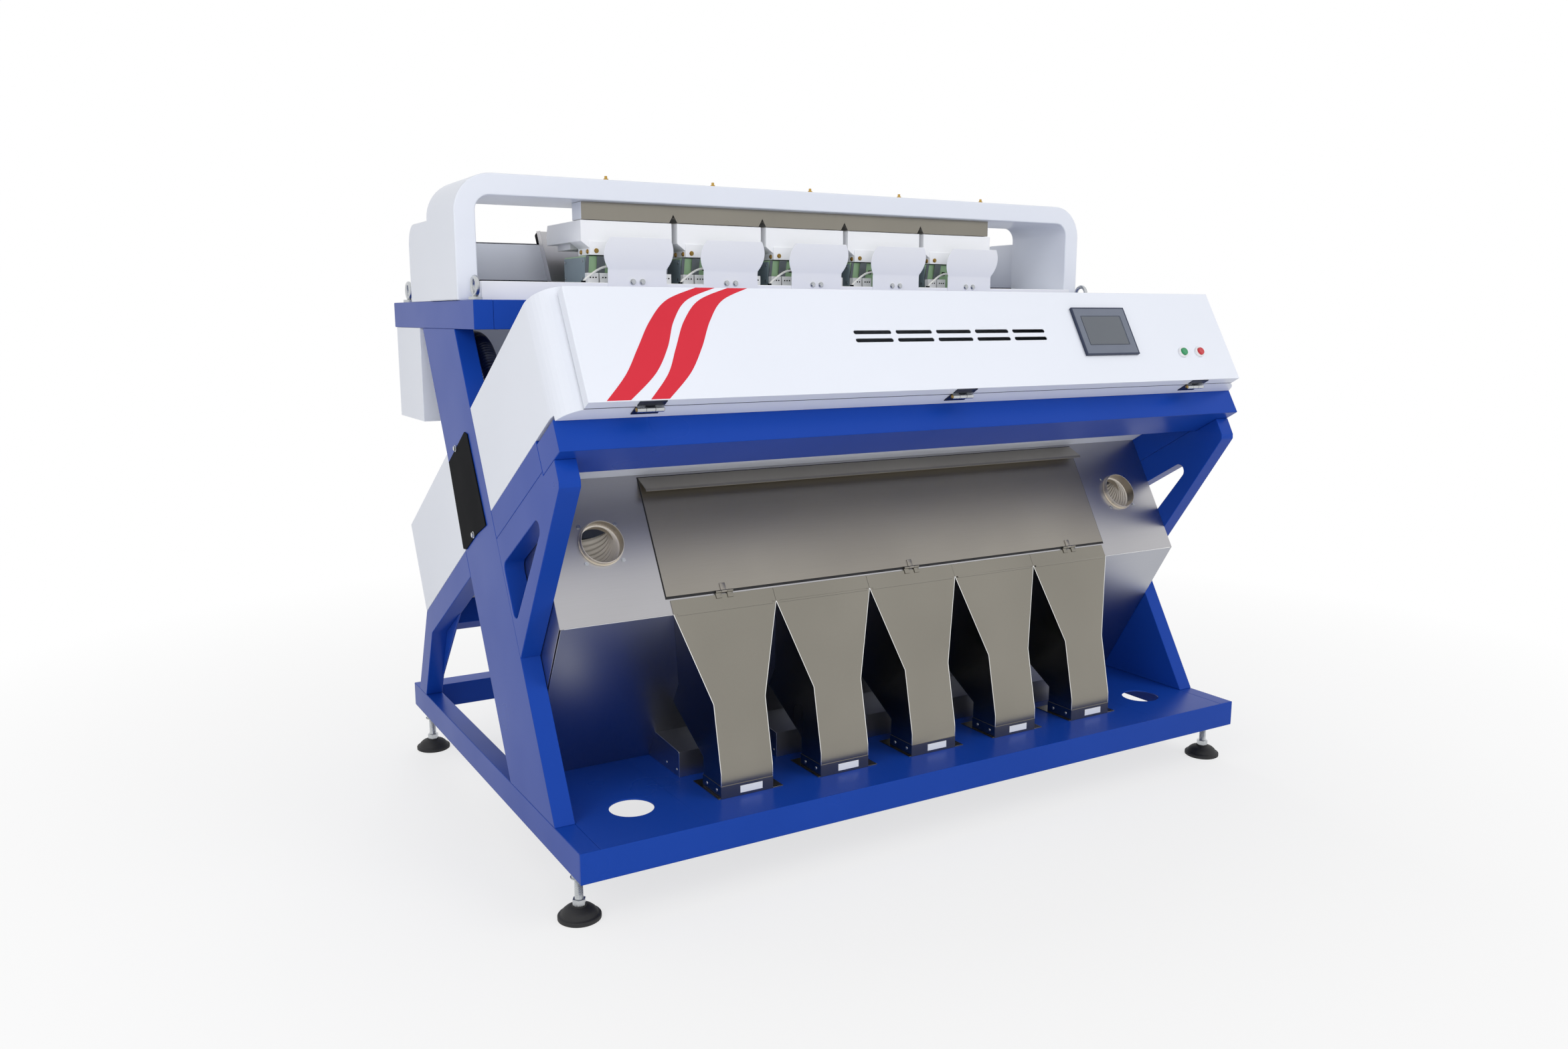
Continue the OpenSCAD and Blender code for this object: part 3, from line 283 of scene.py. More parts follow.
# Satin stainless of the sloping floor and the rear spouts: mirrors the blue deck in a broad blur
STAINLESS_SATIN = STAINLESS.like(
    "satin_stainless", "#B9BBC2", "#A7A9B0", 0.36, cloud_mm=300, gloss_spread=0.03, grain_depth_mm=0.004,
    streak=0.2,
)
# Spun stainless of the port collars: warm, and pale as painted light so that they look lit, with a broad
# highlight
STAINLESS_SPUN_LIT = Finish(
    "spun_stainless", "#E0D8CB", "#CDC5B8", 0.34, 1.0, cloud_mm=60, grain_mm=0.9, grain_depth_mm=0.01
)
# Bright polished metal of the beads along folded edges: a hard bright line, a painted highlight on each edge
POLISHED_HIGHLIGHT = STAINLESS_SPUN_LIT.like("polished_weld", "#EFEFEC", "#DADAD6", 0.16, cloud_mm=30, grain_mm=0.8)
# Bright zinc plate: cool grey with a faint cloudy bloom
ZINC = Finish("zinc_plated_steel", "#C6C9CC", "#A9ACAD", 0.28, 1.0, cloud_mm=18, grain_mm=0.9)
# Turned brass: warm, with a soft shine
BRASS = ZINC.like("turned_brass", "#C7A45C", "#9A7B3E", 0.3, cloud_mm=14, grain_mm=0.8)
# Blackened hinge steel: dark and half matt
BLACK_STEEL = BRASS.like("blackened_steel", "#40444F", "#2C2F38", 0.42, metallic=0.9, cloud_mm=20)
# Moulded rubber of the feet and wipers, and of the dark strips of painted shade at the doors' gaps: dull
# black with a dry bloom
RUBBER = Finish(
    "moulded_rubber_black", "#1C1C1E", "#2A2A2C", 0.62, cloud_mm=30, grain_mm=0.8, grain_depth_mm=0.03
)
# Black powder coat: nearly matt
POWDER_BLACK = Finish(
    "powder_coat_black", "#101114", "#18191C", 0.55, mirror=0.015, cloud_mm=120, grain_mm=2
)
# Moulded ABS bezel: slate grey, finely eroded
ABS_SLATE = Finish(
    "moulded_abs_slate", "#6A7180", "#616776", 0.46, cloud_mm=60, grain_mm=0.7, grain_depth_mm=0.015
)
# Moulded ABS rim of the screen: dark navy
ABS_NAVY = ABS_SLATE.like("moulded_abs_navy", "#1E2A44", "#18223A", 0.42)
# Screen behind hard-coated polycarbonate: slate and glossy
SCREEN = Finish(
    "coated_polycarbonate_dark", "#4B525C", "#535A64", 0.12, coat=0.6, cloud_mm=90, grain_mm=0.5,
    grain_depth_mm=0.002,
)
# Moulded ABS of the button rings and terminal strips: bright white
ABS_WHITE = Finish("moulded_abs_white", "#E9EAEC", "#DCDDDF", 0.3, coat=0.2, cloud_mm=20, grain_mm=0.6)
# Tinted polycarbonate button caps: saturated and shiny
CAP_GREEN = Finish("polycarbonate_green", "#0B8F56", "#087A48", 0.2, coat=0.5, cloud_mm=12, grain_mm=0.5)
CAP_RED = CAP_GREEN.like("polycarbonate_red", "#C41526", "#A81020", 0.2)
# Slate enamel on the drive units' side covers: half matt
ENAMEL_SLATE = Finish("enamel_slate", "#7E8E96", "#6F7F87", 0.42, coat=0.2, cloud_mm=40)
# Enamel on the cast drive units: flat green with a cast grain, lightened as painted light against the shade
# under the pans
ENAMEL_GREEN_LIT = ENAMEL_SLATE.like("enamel_green", "#9DBF96", "#8BAF85", 0.4, grain_depth_mm=0.06)
# PVC sheath of the leads: soft white
PVC_WHITE = Finish("pvc_sheath_white", "#E8E8E4", "#D6D6D0", 0.45, cloud_mm=20, grain_mm=0.6)
# Corrugated PVC duct: pale grey, half matt
PVC_GREY = Finish("pvc_duct_grey", "#E6E0D7", "#D2CCC2", 0.5, cloud_mm=40, grain_mm=1)
# Corrugated PVC hose: deep navy with a soft shine on each rib
PVC_NAVY = PVC_GREY.like("pvc_hose_navy", "#1B2648", "#141C38", 0.36)
# Anodised aluminium: fine matt grey
ALUMINIUM = Finish("anodised_aluminium", "#8D9197", "#7B7F85", 0.38, 1.0, cloud_mm=80, grain_mm=0.8)
# Opal acrylic lamp cover: milky white
ACRYLIC = Finish("opal_acrylic", "#F2F4F6", "#E6E9EC", 0.35, cloud_mm=60, grain_mm=1)
# Float glass: clear with a green edge
FLOAT_GLASS = Finish(
    "float_glass", "#E2F0EC", "#D8EAE6", 0.04, gloss_spread=0.02, grain_depth_mm=0.001, passing=1.0
)
# Cut vinyl film: strong red with a soft sheen
VINYL_RED = Finish(
    "vinyl_film_red", "#D1283A", "#C41F32", 0.34, mirror=0.3, cloud_mm=160, grain_mm=1.5,
    grain_depth_mm=0.006,
)
# Blank polyester label plate: clean white
LABEL = Finish(
    "polyester_plate_white", "#EEF1F4", "#E2E6EA", 0.35, cloud_mm=16, grain_mm=0.6, grain_depth_mm=0.004
)


class Workshop:
    """Turns meshes into finished pieces that ride on the machine's bodies."""

    def __init__(self) -> None:
        """Starts with no materials made and reads where each node belongs."""
        self.made: dict[str, bpy.types.Material] = {}
        record = frame["record"]
        bodies = record["behaviour"]["bodies"].items()
        self.body_of: dict[str, str] = {node: body for body, nodes in bodies for node in nodes}
        self.slot_of: dict[str, str] = {part["node"]: part["material_slot"] for part in record["subparts"]}

    def material(self, finish: Finish) -> bpy.types.Material:
        """Gives the material of a finish, made once.

        Args:
            finish: the finish.

        Returns:
            Its material.
        """
        if finish.name not in self.made:
            self.made[finish.name] = finish.make()
        return self.made[finish.name]

    def keep(self, finish: Finish, *nodes: str) -> None:
        """Leaves nodes as they are, with a better material.

        Args:
            finish: the nodes' finish.
            nodes: nodes to keep.
        """
        for node in nodes:
            for holder in frame["nodes"][node].material_slots:
                holder.material = self.material(finish)
            LOG.info("kept %s as %s", node, finish.name)

    @staticmethod
    def link(name: str, data: bpy.types.ID) -> Piece:
        """Puts a mesh, a camera or a lamp into the scene as an object at the origin.

        Args:
            name: the object's name.
            data: what the object holds.

        Returns:
            The object.
        """
        piece = bpy.data.objects.new(name, data)
        bpy.context.scene.collection.objects.link(piece)
        return piece

    @staticmethod
    def settle(piece: Piece) -> None:
        """Makes a piece's modifiers part of its mesh.

        Args:
            piece: piece to settle.
        """
        graph = bpy.context.evaluated_depsgraph_get()
        mesh = bpy.data.meshes.new_from_object(piece.evaluated_get(graph), depsgraph=graph)
        piece.modifiers.clear()
        piece.data = mesh
        mesh.name = piece.name

    def round_edges(self, piece: Piece, width_mm: float, steps: int = 2, marked: bool = False) -> None:
        """Rounds a piece's edges and keeps its flats flat.

        Args:
            piece: piece to round.
            width_mm: width of the rounding.
            steps: faces across the rounding.
            marked: whether only marked edges are rounded, or all that turn by more than EDGE_TURN.
        """
        bevel = piece.modifiers.new("edges", "BEVEL")
        bevel.width = width_mm * MM
        bevel.segments = steps
        bevel.limit_method = "WEIGHT" if marked else "ANGLE"
        bevel.angle_limit = EDGE_TURN
        bevel.use_clamp_overlap = False
        bevel.harden_normals = True
        self.settle(piece)

    def soften(
        self, finish: Finish, width_mm: float, *nodes: str, steps: int = 2, part: Test | None = None,
        label: str = "finished", sharp: Test | None = None,
    ) -> None:
        """Replaces nodes by copies of their solids with rounded edges.

        Args:
            finish: the copies' finish.
            width_mm: width of the rounding.
            nodes: nodes to copy.
            steps: faces across the rounding.
            part: tells by its middle whether the copy takes a face, or it takes all.
            label: ending of the copies' names.
            sharp: tells by its middle whether an edge stays sharp.
        """
        for node in nodes:
            shape = bmesh.new()
            shape.from_mesh(frame["nodes"][node].data)
            bmesh.ops.remove_doubles(shape, verts=shape.verts, dist=WELD_MM * MM)
            if part:
                others = [face for face in shape.faces if not part(face.calc_center_median())]
                bmesh.ops.delete(shape, geom=others, context="FACES")
            bmesh.ops.dissolve_limit(
                shape, angle_limit=FLAT_TURN, verts=shape.verts, edges=shape.edges, delimit={"NORMAL"}
            )
            weight = shape.edges.layers.float.new("bevel_weight_edge")
            for edge in shape.edges:
                middle = (edge.verts[0].co + edge.verts[1].co) / 2
                if len(edge.link_faces) == 2 and edge.calc_face_angle(0.0) > EDGE_TURN:
                    edge[weight] = 0.0 if sharp and sharp(middle) else 1.0
            slot, body = self.slot_of[node], self.body_of[node]
            piece = self.piece(f"{node}_{label}", shape, finish, slot, body, True)
            self.round_edges(piece, width_mm, steps, True)
            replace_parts(piece, node)

    def piece(
        self, name: str, shape: Shape, finish: Finish, slot: str, body: str = Body.FRAME,
        closed: bool = False,
    ) -> Piece:
        """Turns a worked mesh into a piece.

        Args:
            name: the piece's name.
            shape: its mesh, which is used up.
            finish: its finish.
            slot: the record's slot for its finish; not used.
            body: body that it rides on.
            closed: whether its faces already point outwards.

        Returns:
            The piece.
        """
        if not closed:
            bmesh.ops.remove_doubles(shape, verts=shape.verts, dist=WELD_MM / 4 * MM)
            bmesh.ops.recalc_face_normals(shape, faces=shape.faces)
        for face in shape.faces:
            face.smooth = True
            face.material_index = 0
        mesh = bpy.data.meshes.new(name)
        shape.to_mesh(mesh)
        shape.free()
        mesh.set_sharp_from_angle(angle=EDGE_TURN)
        piece = self.link(name, mesh)
        self.dress(piece, finish, body)
        return piece

    def dress(self, piece: Piece, finish: Finish, body: str) -> None:
        """Gives a piece its finish and its body.

        Args:
            piece: piece to dress.
            finish: its finish.
            body: body that it rides on.
        """
        piece.data.materials.clear()
        piece.data.materials.append(self.material(finish))
        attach(piece, str(body.value) if isinstance(body, Body) else body)
        LOG.info("made %s in %s", piece.name, finish.name)

    def grow(
        self, name: str, base: Mesh, tree: Tree, sizes_mm: Sequence[float], finish: Finish,
        body: str = Body.FRAME,
    ) -> Piece:
        """Runs a Geometry Nodes tree on a base mesh and keeps the result as a plain piece.

        Args:
            name: the piece's name.
            base: points or lines that the tree works on.
            tree: the tree.
            sizes_mm: the tree's number inputs in their order.
            finish: the piece's finish.
            body: body that it rides on.

        Returns:
            The piece.
        """
        piece = self.link(name, base)
        maker = piece.modifiers.new("maker", "NODES")
        maker.node_group = tree
        inputs = [item for item in tree.interface.items_tree if item.in_out == "INPUT"][1:]
        for item, value in zip(inputs, [size * MM for size in sizes_mm] + [self.material(finish)]):
            maker[item.identifier] = value
        self.settle(piece)
        piece.data.set_sharp_from_angle(angle=SMOOTH_TURN)
        self.dress(piece, finish, body)
        return piece


SHOP = Workshop()


def start_tree(name: str, *sizes: str) -> tuple[Tree, Any]:
    """Starts a Geometry Nodes tree with named sizes and a finish.

    Args:
        name: the tree's name.
        sizes: names of its number inputs.

    Returns:
        The tree and the outputs of its input node.
    """
    tree = bpy.data.node_groups.new(name, "GeometryNodeTree")
    kinds = {"Geometry": "Geometry", **dict.fromkeys(sizes, "Float"), "Finish": "Material"}
    for label, kind in kinds.items():
        tree.interface.new_socket(label, in_out="INPUT", socket_type=f"NodeSocket{kind}")
    tree.interface.new_socket("Geometry", in_out="OUTPUT", socket_type="NodeSocketGeometry")
    return tree, add_node(tree, "NodeGroupInput", out=None)


def end_tree(tree: Tree, given: Any, shape: Socket) -> Tree:
    """Ends a tree with real geometry in its finish.

    Args:
        tree: tree to end.
        given: outputs of its input node.
        shape: geometry that it makes.

    Returns:
        The tree.
    """
    real = add_node(tree, "GeometryNodeRealizeInstances", {"Geometry": shape})
    dressed = add_node(tree, "GeometryNodeSetMaterial", {"Geometry": real, "Material": given["Finish"]})
    smooth = add_node(tree, "GeometryNodeSetShadeSmooth", {"Geometry": dressed})
    add_node(tree, "NodeGroupOutput", {"Geometry": smooth}, None)
    return tree


def end_on_points(tree: Tree, given: Any, shape: Socket) -> Tree:
    """Sets a shape on each point along the point's own axis, and ends the tree.

    Args:
        tree: tree to end.
        given: outputs of its input node.
        shape: geometry that goes on each point.

    Returns:
        The tree.
    """
    add = partial(add_node, tree)
    axis = add("GeometryNodeInputNamedAttribute", {"Name": "axis"}, "Attribute", data_type="FLOAT_VECTOR")
    turn = add("FunctionNodeAlignRotationToVector", {"Vector": axis}, axis="Z")
    spread = {"Points": given["Geometry"], "Instance": shape, "Rotation": turn}
    return end_tree(tree, given, add("GeometryNodeInstanceOnPoints", spread))


def head_tree(head: Head) -> Tree:
    """Builds the tree that sets one kind of fastener on points.

    Args:
        head: kind of head.

    Returns:
        The tree, with inputs Radius, Height and Washer.
    """
    tree, given = start_tree(f"fasteners_{head.value}", "Radius", "Height", "Washer")
    add = partial(add_node, tree)
    radius, height = given["Radius"], given["Height"]
    if head is Head.RIVET:
        dome = add("GeometryNodeMeshUVSphere", {"Segments": 12, "Rings": 8, "Radius": 1.0}, "Mesh")
        spread = add("ShaderNodeCombineXYZ", {0: radius, 1: radius, 2: height})
        return end_on_points(tree, given, add("GeometryNodeTransform", {"Geometry": dome, "Scale": spread}))
    sides = 6 if head is Head.HEX else 20
    half = add("ShaderNodeMath", {0: height, 1: 0.5}, operation="MULTIPLY")
    lift = add("ShaderNodeCombineXYZ", {2: half})
    block = add("GeometryNodeMeshCylinder", {"Vertices": sides, "Radius": radius, "Depth": height}, "Mesh")
    raised = add("GeometryNodeTransform", {"Geometry": block, "Translation": lift})
    flat = {"Vertices": 24, "Radius": given["Washer"], "Depth": WASHER_MM * MM}
    disc = add("GeometryNodeMeshCylinder", flat, "Mesh")
    return end_on_points(tree, given, add("GeometryNodeJoinGeometry", {0: [raised, disc]}))


def ribbed_tree() -> Tree:
    """Builds the tree that sweeps lines into round tubes with ribs.

    Returns:
        The tree, with inputs Radius, Rib pitch, Rib depth and Step.
    """
    tree, given = start_tree("ribbed_tubes", "Radius", "Rib pitch", "Rib depth", "Step")
    add = partial(add_node, tree)
    line = add("GeometryNodeMeshToCurve", {"Mesh": given["Geometry"]})
    fine = add("GeometryNodeResampleCurve", {"Curve": line, "Length": given["Step"]}, mode="LENGTH")
    along = add("GeometryNodeSplineParameter", out="Length")
    turns = add("ShaderNodeMath", {0: along, 1: given["Rib pitch"]}, operation="DIVIDE")
    phase = add("ShaderNodeMath", {0: turns, 1: 2 * math.pi}, operation="MULTIPLY")
    wave = add("ShaderNodeMath", {0: phase}, operation="SINE")
    swell = {0: wave, 1: given["Rib depth"], 2: given["Radius"]}
    radius = add("ShaderNodeMath", swell, operation="MULTIPLY_ADD")
    wide = add("GeometryNodeSetCurveRadius", {"Curve": fine, "Radius": radius})
    ring = add("GeometryNodeCurvePrimitiveCircle", {"Resolution": 24, "Radius": 1.0})
    swept = {"Curve": wide, "Profile Curve": ring, "Fill Caps": True, "Scale": radius}
    return end_tree(tree, given, add("GeometryNodeCurveToMesh", swept))


def louvre_tree() -> Tree:
    """Builds the tree that sets pressed louvres on points.

    Returns:
        The tree, with inputs Length, Radius and Rise.
    """
    tree, given = start_tree("pressed_louvres", "Length", "Radius", "Rise")
    add = partial(add_node, tree)
    round_bar = {"Vertices": 20, "Radius": 1.0, "Depth": given["Length"]}
    bar = add("GeometryNodeMeshCylinder", round_bar, "Mesh")
    spread = add("ShaderNodeCombineXYZ", {0: given["Rise"], 1: given["Radius"], 2: 1.0})
    flat = add("GeometryNodeTransform", {"Geometry": bar, "Scale": spread})
    across = add("GeometryNodeTransform", {"Geometry": flat, "Rotation": (0.0, math.pi / 2, 0.0)})
    return end_on_points(tree, given, across)


HEADS = {head: head_tree(head) for head in Head}
RIBBED = ribbed_tree()
LOUVRES = louvre_tree()


def points_mesh(name: str, places: Spots) -> Mesh:
    """Makes a mesh of points that each know their axis.

    Args:
        name: the mesh's name.
        places: a point and its axis, for each fastener.

    Returns:
        The mesh.
    """
    mesh = bpy.data.meshes.new(name)
    mesh.from_pydata([point for point, _ in places], [], [])
    axes = mesh.attributes.new("axis", "FLOAT_VECTOR", "POINT")
    for item, (_, axis) in zip(axes.data, places):
        item.vector = axis
    return mesh


def sweep(
    name: str, routes: Sequence[Route], sizes_mm: Sequence[float], finish: Finish
) -> Piece:
    """Sweeps round tubes along open lines.

    Args:
        name: the piece's name.
        routes: points along the middle of each tube.
        sizes_mm: radius, pitch and depth of the ribs, and step along the line.
        finish: the tubes' finish.

    Returns:
        The tubes as one piece.
    """
    points: list[Vector] = []
    edges: list[tuple[int, int]] = []
    for route in routes:
        first = len(points)
        points.extend(route)
        edges.extend((first + i, first + i + 1) for i in range(len(route) - 1))
    mesh = bpy.data.meshes.new(name)
    mesh.from_pydata(points, edges, [])
    piece = SHOP.grow(name, mesh, RIBBED, sizes_mm, finish)
    return piece


def smooth_route(points: Route, parts: int = 8) -> list[Vector]:
    """Draws a smooth curve through points.

    Args:
        points: points that the curve passes.
        parts: steps between two of them.

    Returns:
        Points along the curve.
    """
    route: list[Vector] = []
    last = len(points) - 1
    for i in range(last):
        a, b, c, d = (points[min(max(i + k, 0), last)] for k in (-1, 0, 1, 2))
        for step in range(parts):
            t = step / parts
            bend = 2 * a - 5 * b + 4 * c - d
            twist = 3 * b - a - 3 * c + d
            route.append(0.5 * (2 * b + (c - a) * t + bend * t ** 2 + twist * t ** 3))
    route.append(points[last])
    return route


def fasten(
    name: str, head: Head, places: Spots, radius_mm: float, height_mm: float, finish: Finish = ZINC,
    body: str = Body.FRAME, washer_mm: float = 0.0,
) -> Piece:
    """Sets a group of fasteners.

    Args:
        name: the group's name.
        head: kind of head.
        places: a point and its axis for each.
        radius_mm: radius of the heads.
        height_mm: height of the heads.
        finish: their finish.
        body: body that they ride on.
        washer_mm: radius of the washers, or nothing.

    Returns:
        The group as one piece.
    """
    sizes_mm = (radius_mm, height_mm, max(washer_mm, radius_mm * 0.9))
    return SHOP.grow(name, points_mesh(name, places), HEADS[head], sizes_mm, finish, body)


def add_loops(shape: Shape, loops: Sequence[Sequence[Any]], ring: bool = False) -> None:
    """Joins rows of corners by faces around them.

    Args:
        shape: mesh that gets the faces.
        loops: corners of each row, where a row of one is a tip.
        ring: whether the last row joins the first.
    """
    count = max(len(loop) for loop in loops)
    for a, b in zip(loops, [*loops[1:], loops[0]] if ring else loops[1:]):
        for k in range(count):
            corners = (a[k % len(a)], a[(k + 1) % len(a)], b[(k + 1) % len(b)], b[k % len(b)])
            face = list(dict.fromkeys(corners))
            if len(face) > 2:
                shape.faces.new(face)


def add_box(shape: Shape, low: Point, high: Point, place: Place = machine_point) -> None:
    """Adds a box between two opposite corners.

    Args:
        shape: mesh that gets the box.
        low: one corner.
        high: the other corner.
        place: turns the corners into points of the scene.
    """
    xs, ys, zs = (sorted(ends) for ends in zip(low, high))
    corners = [shape.verts.new(place(x, y, z)) for x in xs for y in ys for z in zs]
    for ring in ((0, 1, 3, 2), (4, 6, 7, 5), (0, 4, 5, 1), (2, 3, 7, 6), (0, 2, 6, 4), (1, 5, 7, 3)):
        shape.faces.new([corners[i] for i in ring])


def add_frame(shape: Shape, low: Point, high: Point, width: float, place: Place) -> None:
    """Adds a flat rectangular frame with mitred corners.

    Args:
        shape: mesh that gets the frame.
        low: lowest outer corner.
        high: highest outer corner.
        width: width of its members, across and up.
        place: turns the corners into points of the scene.
    """
    loops = []
    for depth, inset in ((low[1], 0.0), (high[1], 0.0), (high[1], width), (low[1], width)):
        x0, x1, z0, z1 = low[0] + inset, high[0] - inset, low[2] + inset, high[2] - inset
        around = ((x0, z0), (x1, z0), (x1, z1), (x0, z1))
        loops.append([shape.verts.new(place(x, depth, z)) for x, z in around])
    add_loops(shape, loops, True)


def add_lathe(shape: Shape, profile: Sequence[Pair], foot: Vector, axis: Vector, segments: int = 32) -> None:
    """Adds a turned shape.

    Args:
        shape: mesh that gets it.
        profile: radius and height of each step in millimetres.
        foot: point on the axis at height 0.
        axis: direction of the axis.
        segments: faces around.
    """
    side = axis.orthogonal().normalized()
    other = axis.cross(side)
    turns = [2 * math.pi * k / segments for k in range(segments)]
    rings = []
    for radius, height in profile:
        middle = foot + axis * height * MM
        spokes = [side * math.cos(t) + other * math.sin(t) for t in turns] if radius > 0 else [Vector()]
        rings.append([shape.verts.new(middle + spoke * radius * MM) for spoke in spokes])
    add_loops(shape, rings)


@dataclass
class WeldedFrame:
    """Leaning X frame of blue enamelled tube with its deck, feet, eyes and cover plates."""

    edge_mm: float = 2.2
    deck_edge_mm: float = 1.4
    plate_edge_mm: float = 0.8
    nut_edge_mm: float = 0.7
    lip_seam: float = 4.15
    side_seam: float = 733.9
    seam_mm: float = 0.3
    stud_d: float = 20.0
    # Radius, pitch and depth of the studs' thread, and the step along it
    thread: tuple[float, ...] = (9.6, 2.5, 0.45, 0.5)
    sill_gap: float = 0.2
    # Radius and height of a nut
    lock_nut: Pair = (17.0, 17.8)
    lock_washer: float = 19.0
    pad_nut: Pair = (16.0, 14.0)
    pad_d: float = 100.0
    pad_h: float = 34.0
    feet: tuple[Pair, ...] = ((-1025, 82), (1025, 82), (-1025, 1355), (1025, 1355))

    def build(self) -> None:
        """Rounds the tubes and plates, and makes the feet."""
        SHOP.soften(
            ENAMEL_BLUE, self.edge_mm, "side_sills", "main_legs", "cross_legs", "front_crossbeam",
            "rear_crossbeams", "top_side_beams", "top_crossbeams", "gusset_plates",
        )
        SHOP.soften(ENAMEL_BLUE, self.deck_edge_mm, "base_deck", "deck_plate", sharp=self.on_seam)
        SHOP.soften(POWDER_BLACK, self.plate_edge_mm, "leg_cover_plates")
        SHOP.soften(ZINC, self.plate_edge_mm, "lifting_eyes")
        self.build_feet()

    def on_seam(self, middle: Vector) -> bool:
        """Tells whether a place lies on a seam of the deck, where the plates butt together.

        Args:
            middle: the place.

        Returns:
            True on a seam.
        """
        x = abs(middle.x) / MM
        y = middle.y / MM + FRAME_DEPTH / 2
        return abs(y - self.lip_seam) < self.seam_mm or abs(x - self.side_seam) < self.seam_mm

    def build_feet(self) -> None:
        """Makes domed pads, threaded studs and their nuts."""
        r = self.pad_d / 2
        profile = [
            (0, 0), (r - 3, 0), (r, 2), (r, 9), (r - 1.5, 11), (r - 6, 12), (r - 8, 14), (r - 11, 20),
            (r - 18, 26), (r - 27, 30), (self.stud_d * 0.85, 31), (self.stud_d * 0.8, self.pad_h),
            (0, self.pad_h),
        ]
        pads = bmesh.new()
        for x, y in self.feet:
            add_lathe(pads, profile, machine_point(x, y, -FOOT_HEIGHT), UP, 48)
        turned = SHOP.piece("leveling_pads_turned", pads, RUBBER, "black_rubber")
        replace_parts(turned, "leveling_pads")
        on_pads = [machine_point(x, y, self.pad_h - FOOT_HEIGHT) for x, y in self.feet]
        routes = [[pad, machine_point(x, y, -self.sill_gap)] for pad, (x, y) in zip(on_pads, self.feet)]
        studs = sweep("stud_threads", routes, self.thread, ZINC)
        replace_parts(studs, "leveling_studs")
        lock_z = -self.lock_nut[1] - self.sill_gap
        under_sills = [(machine_point(x, y, lock_z), UP) for x, y in self.feet]
        locks = fasten("lock_nuts", Head.HEX, under_sills, *self.lock_nut, washer_mm=self.lock_washer)
        SHOP.round_edges(locks, self.nut_edge_mm)
        nuts = fasten("pad_nuts", Head.HEX, [(pad, UP) for pad in on_pads], *self.pad_nut)
        SHOP.round_edges(nuts, self.nut_edge_mm)


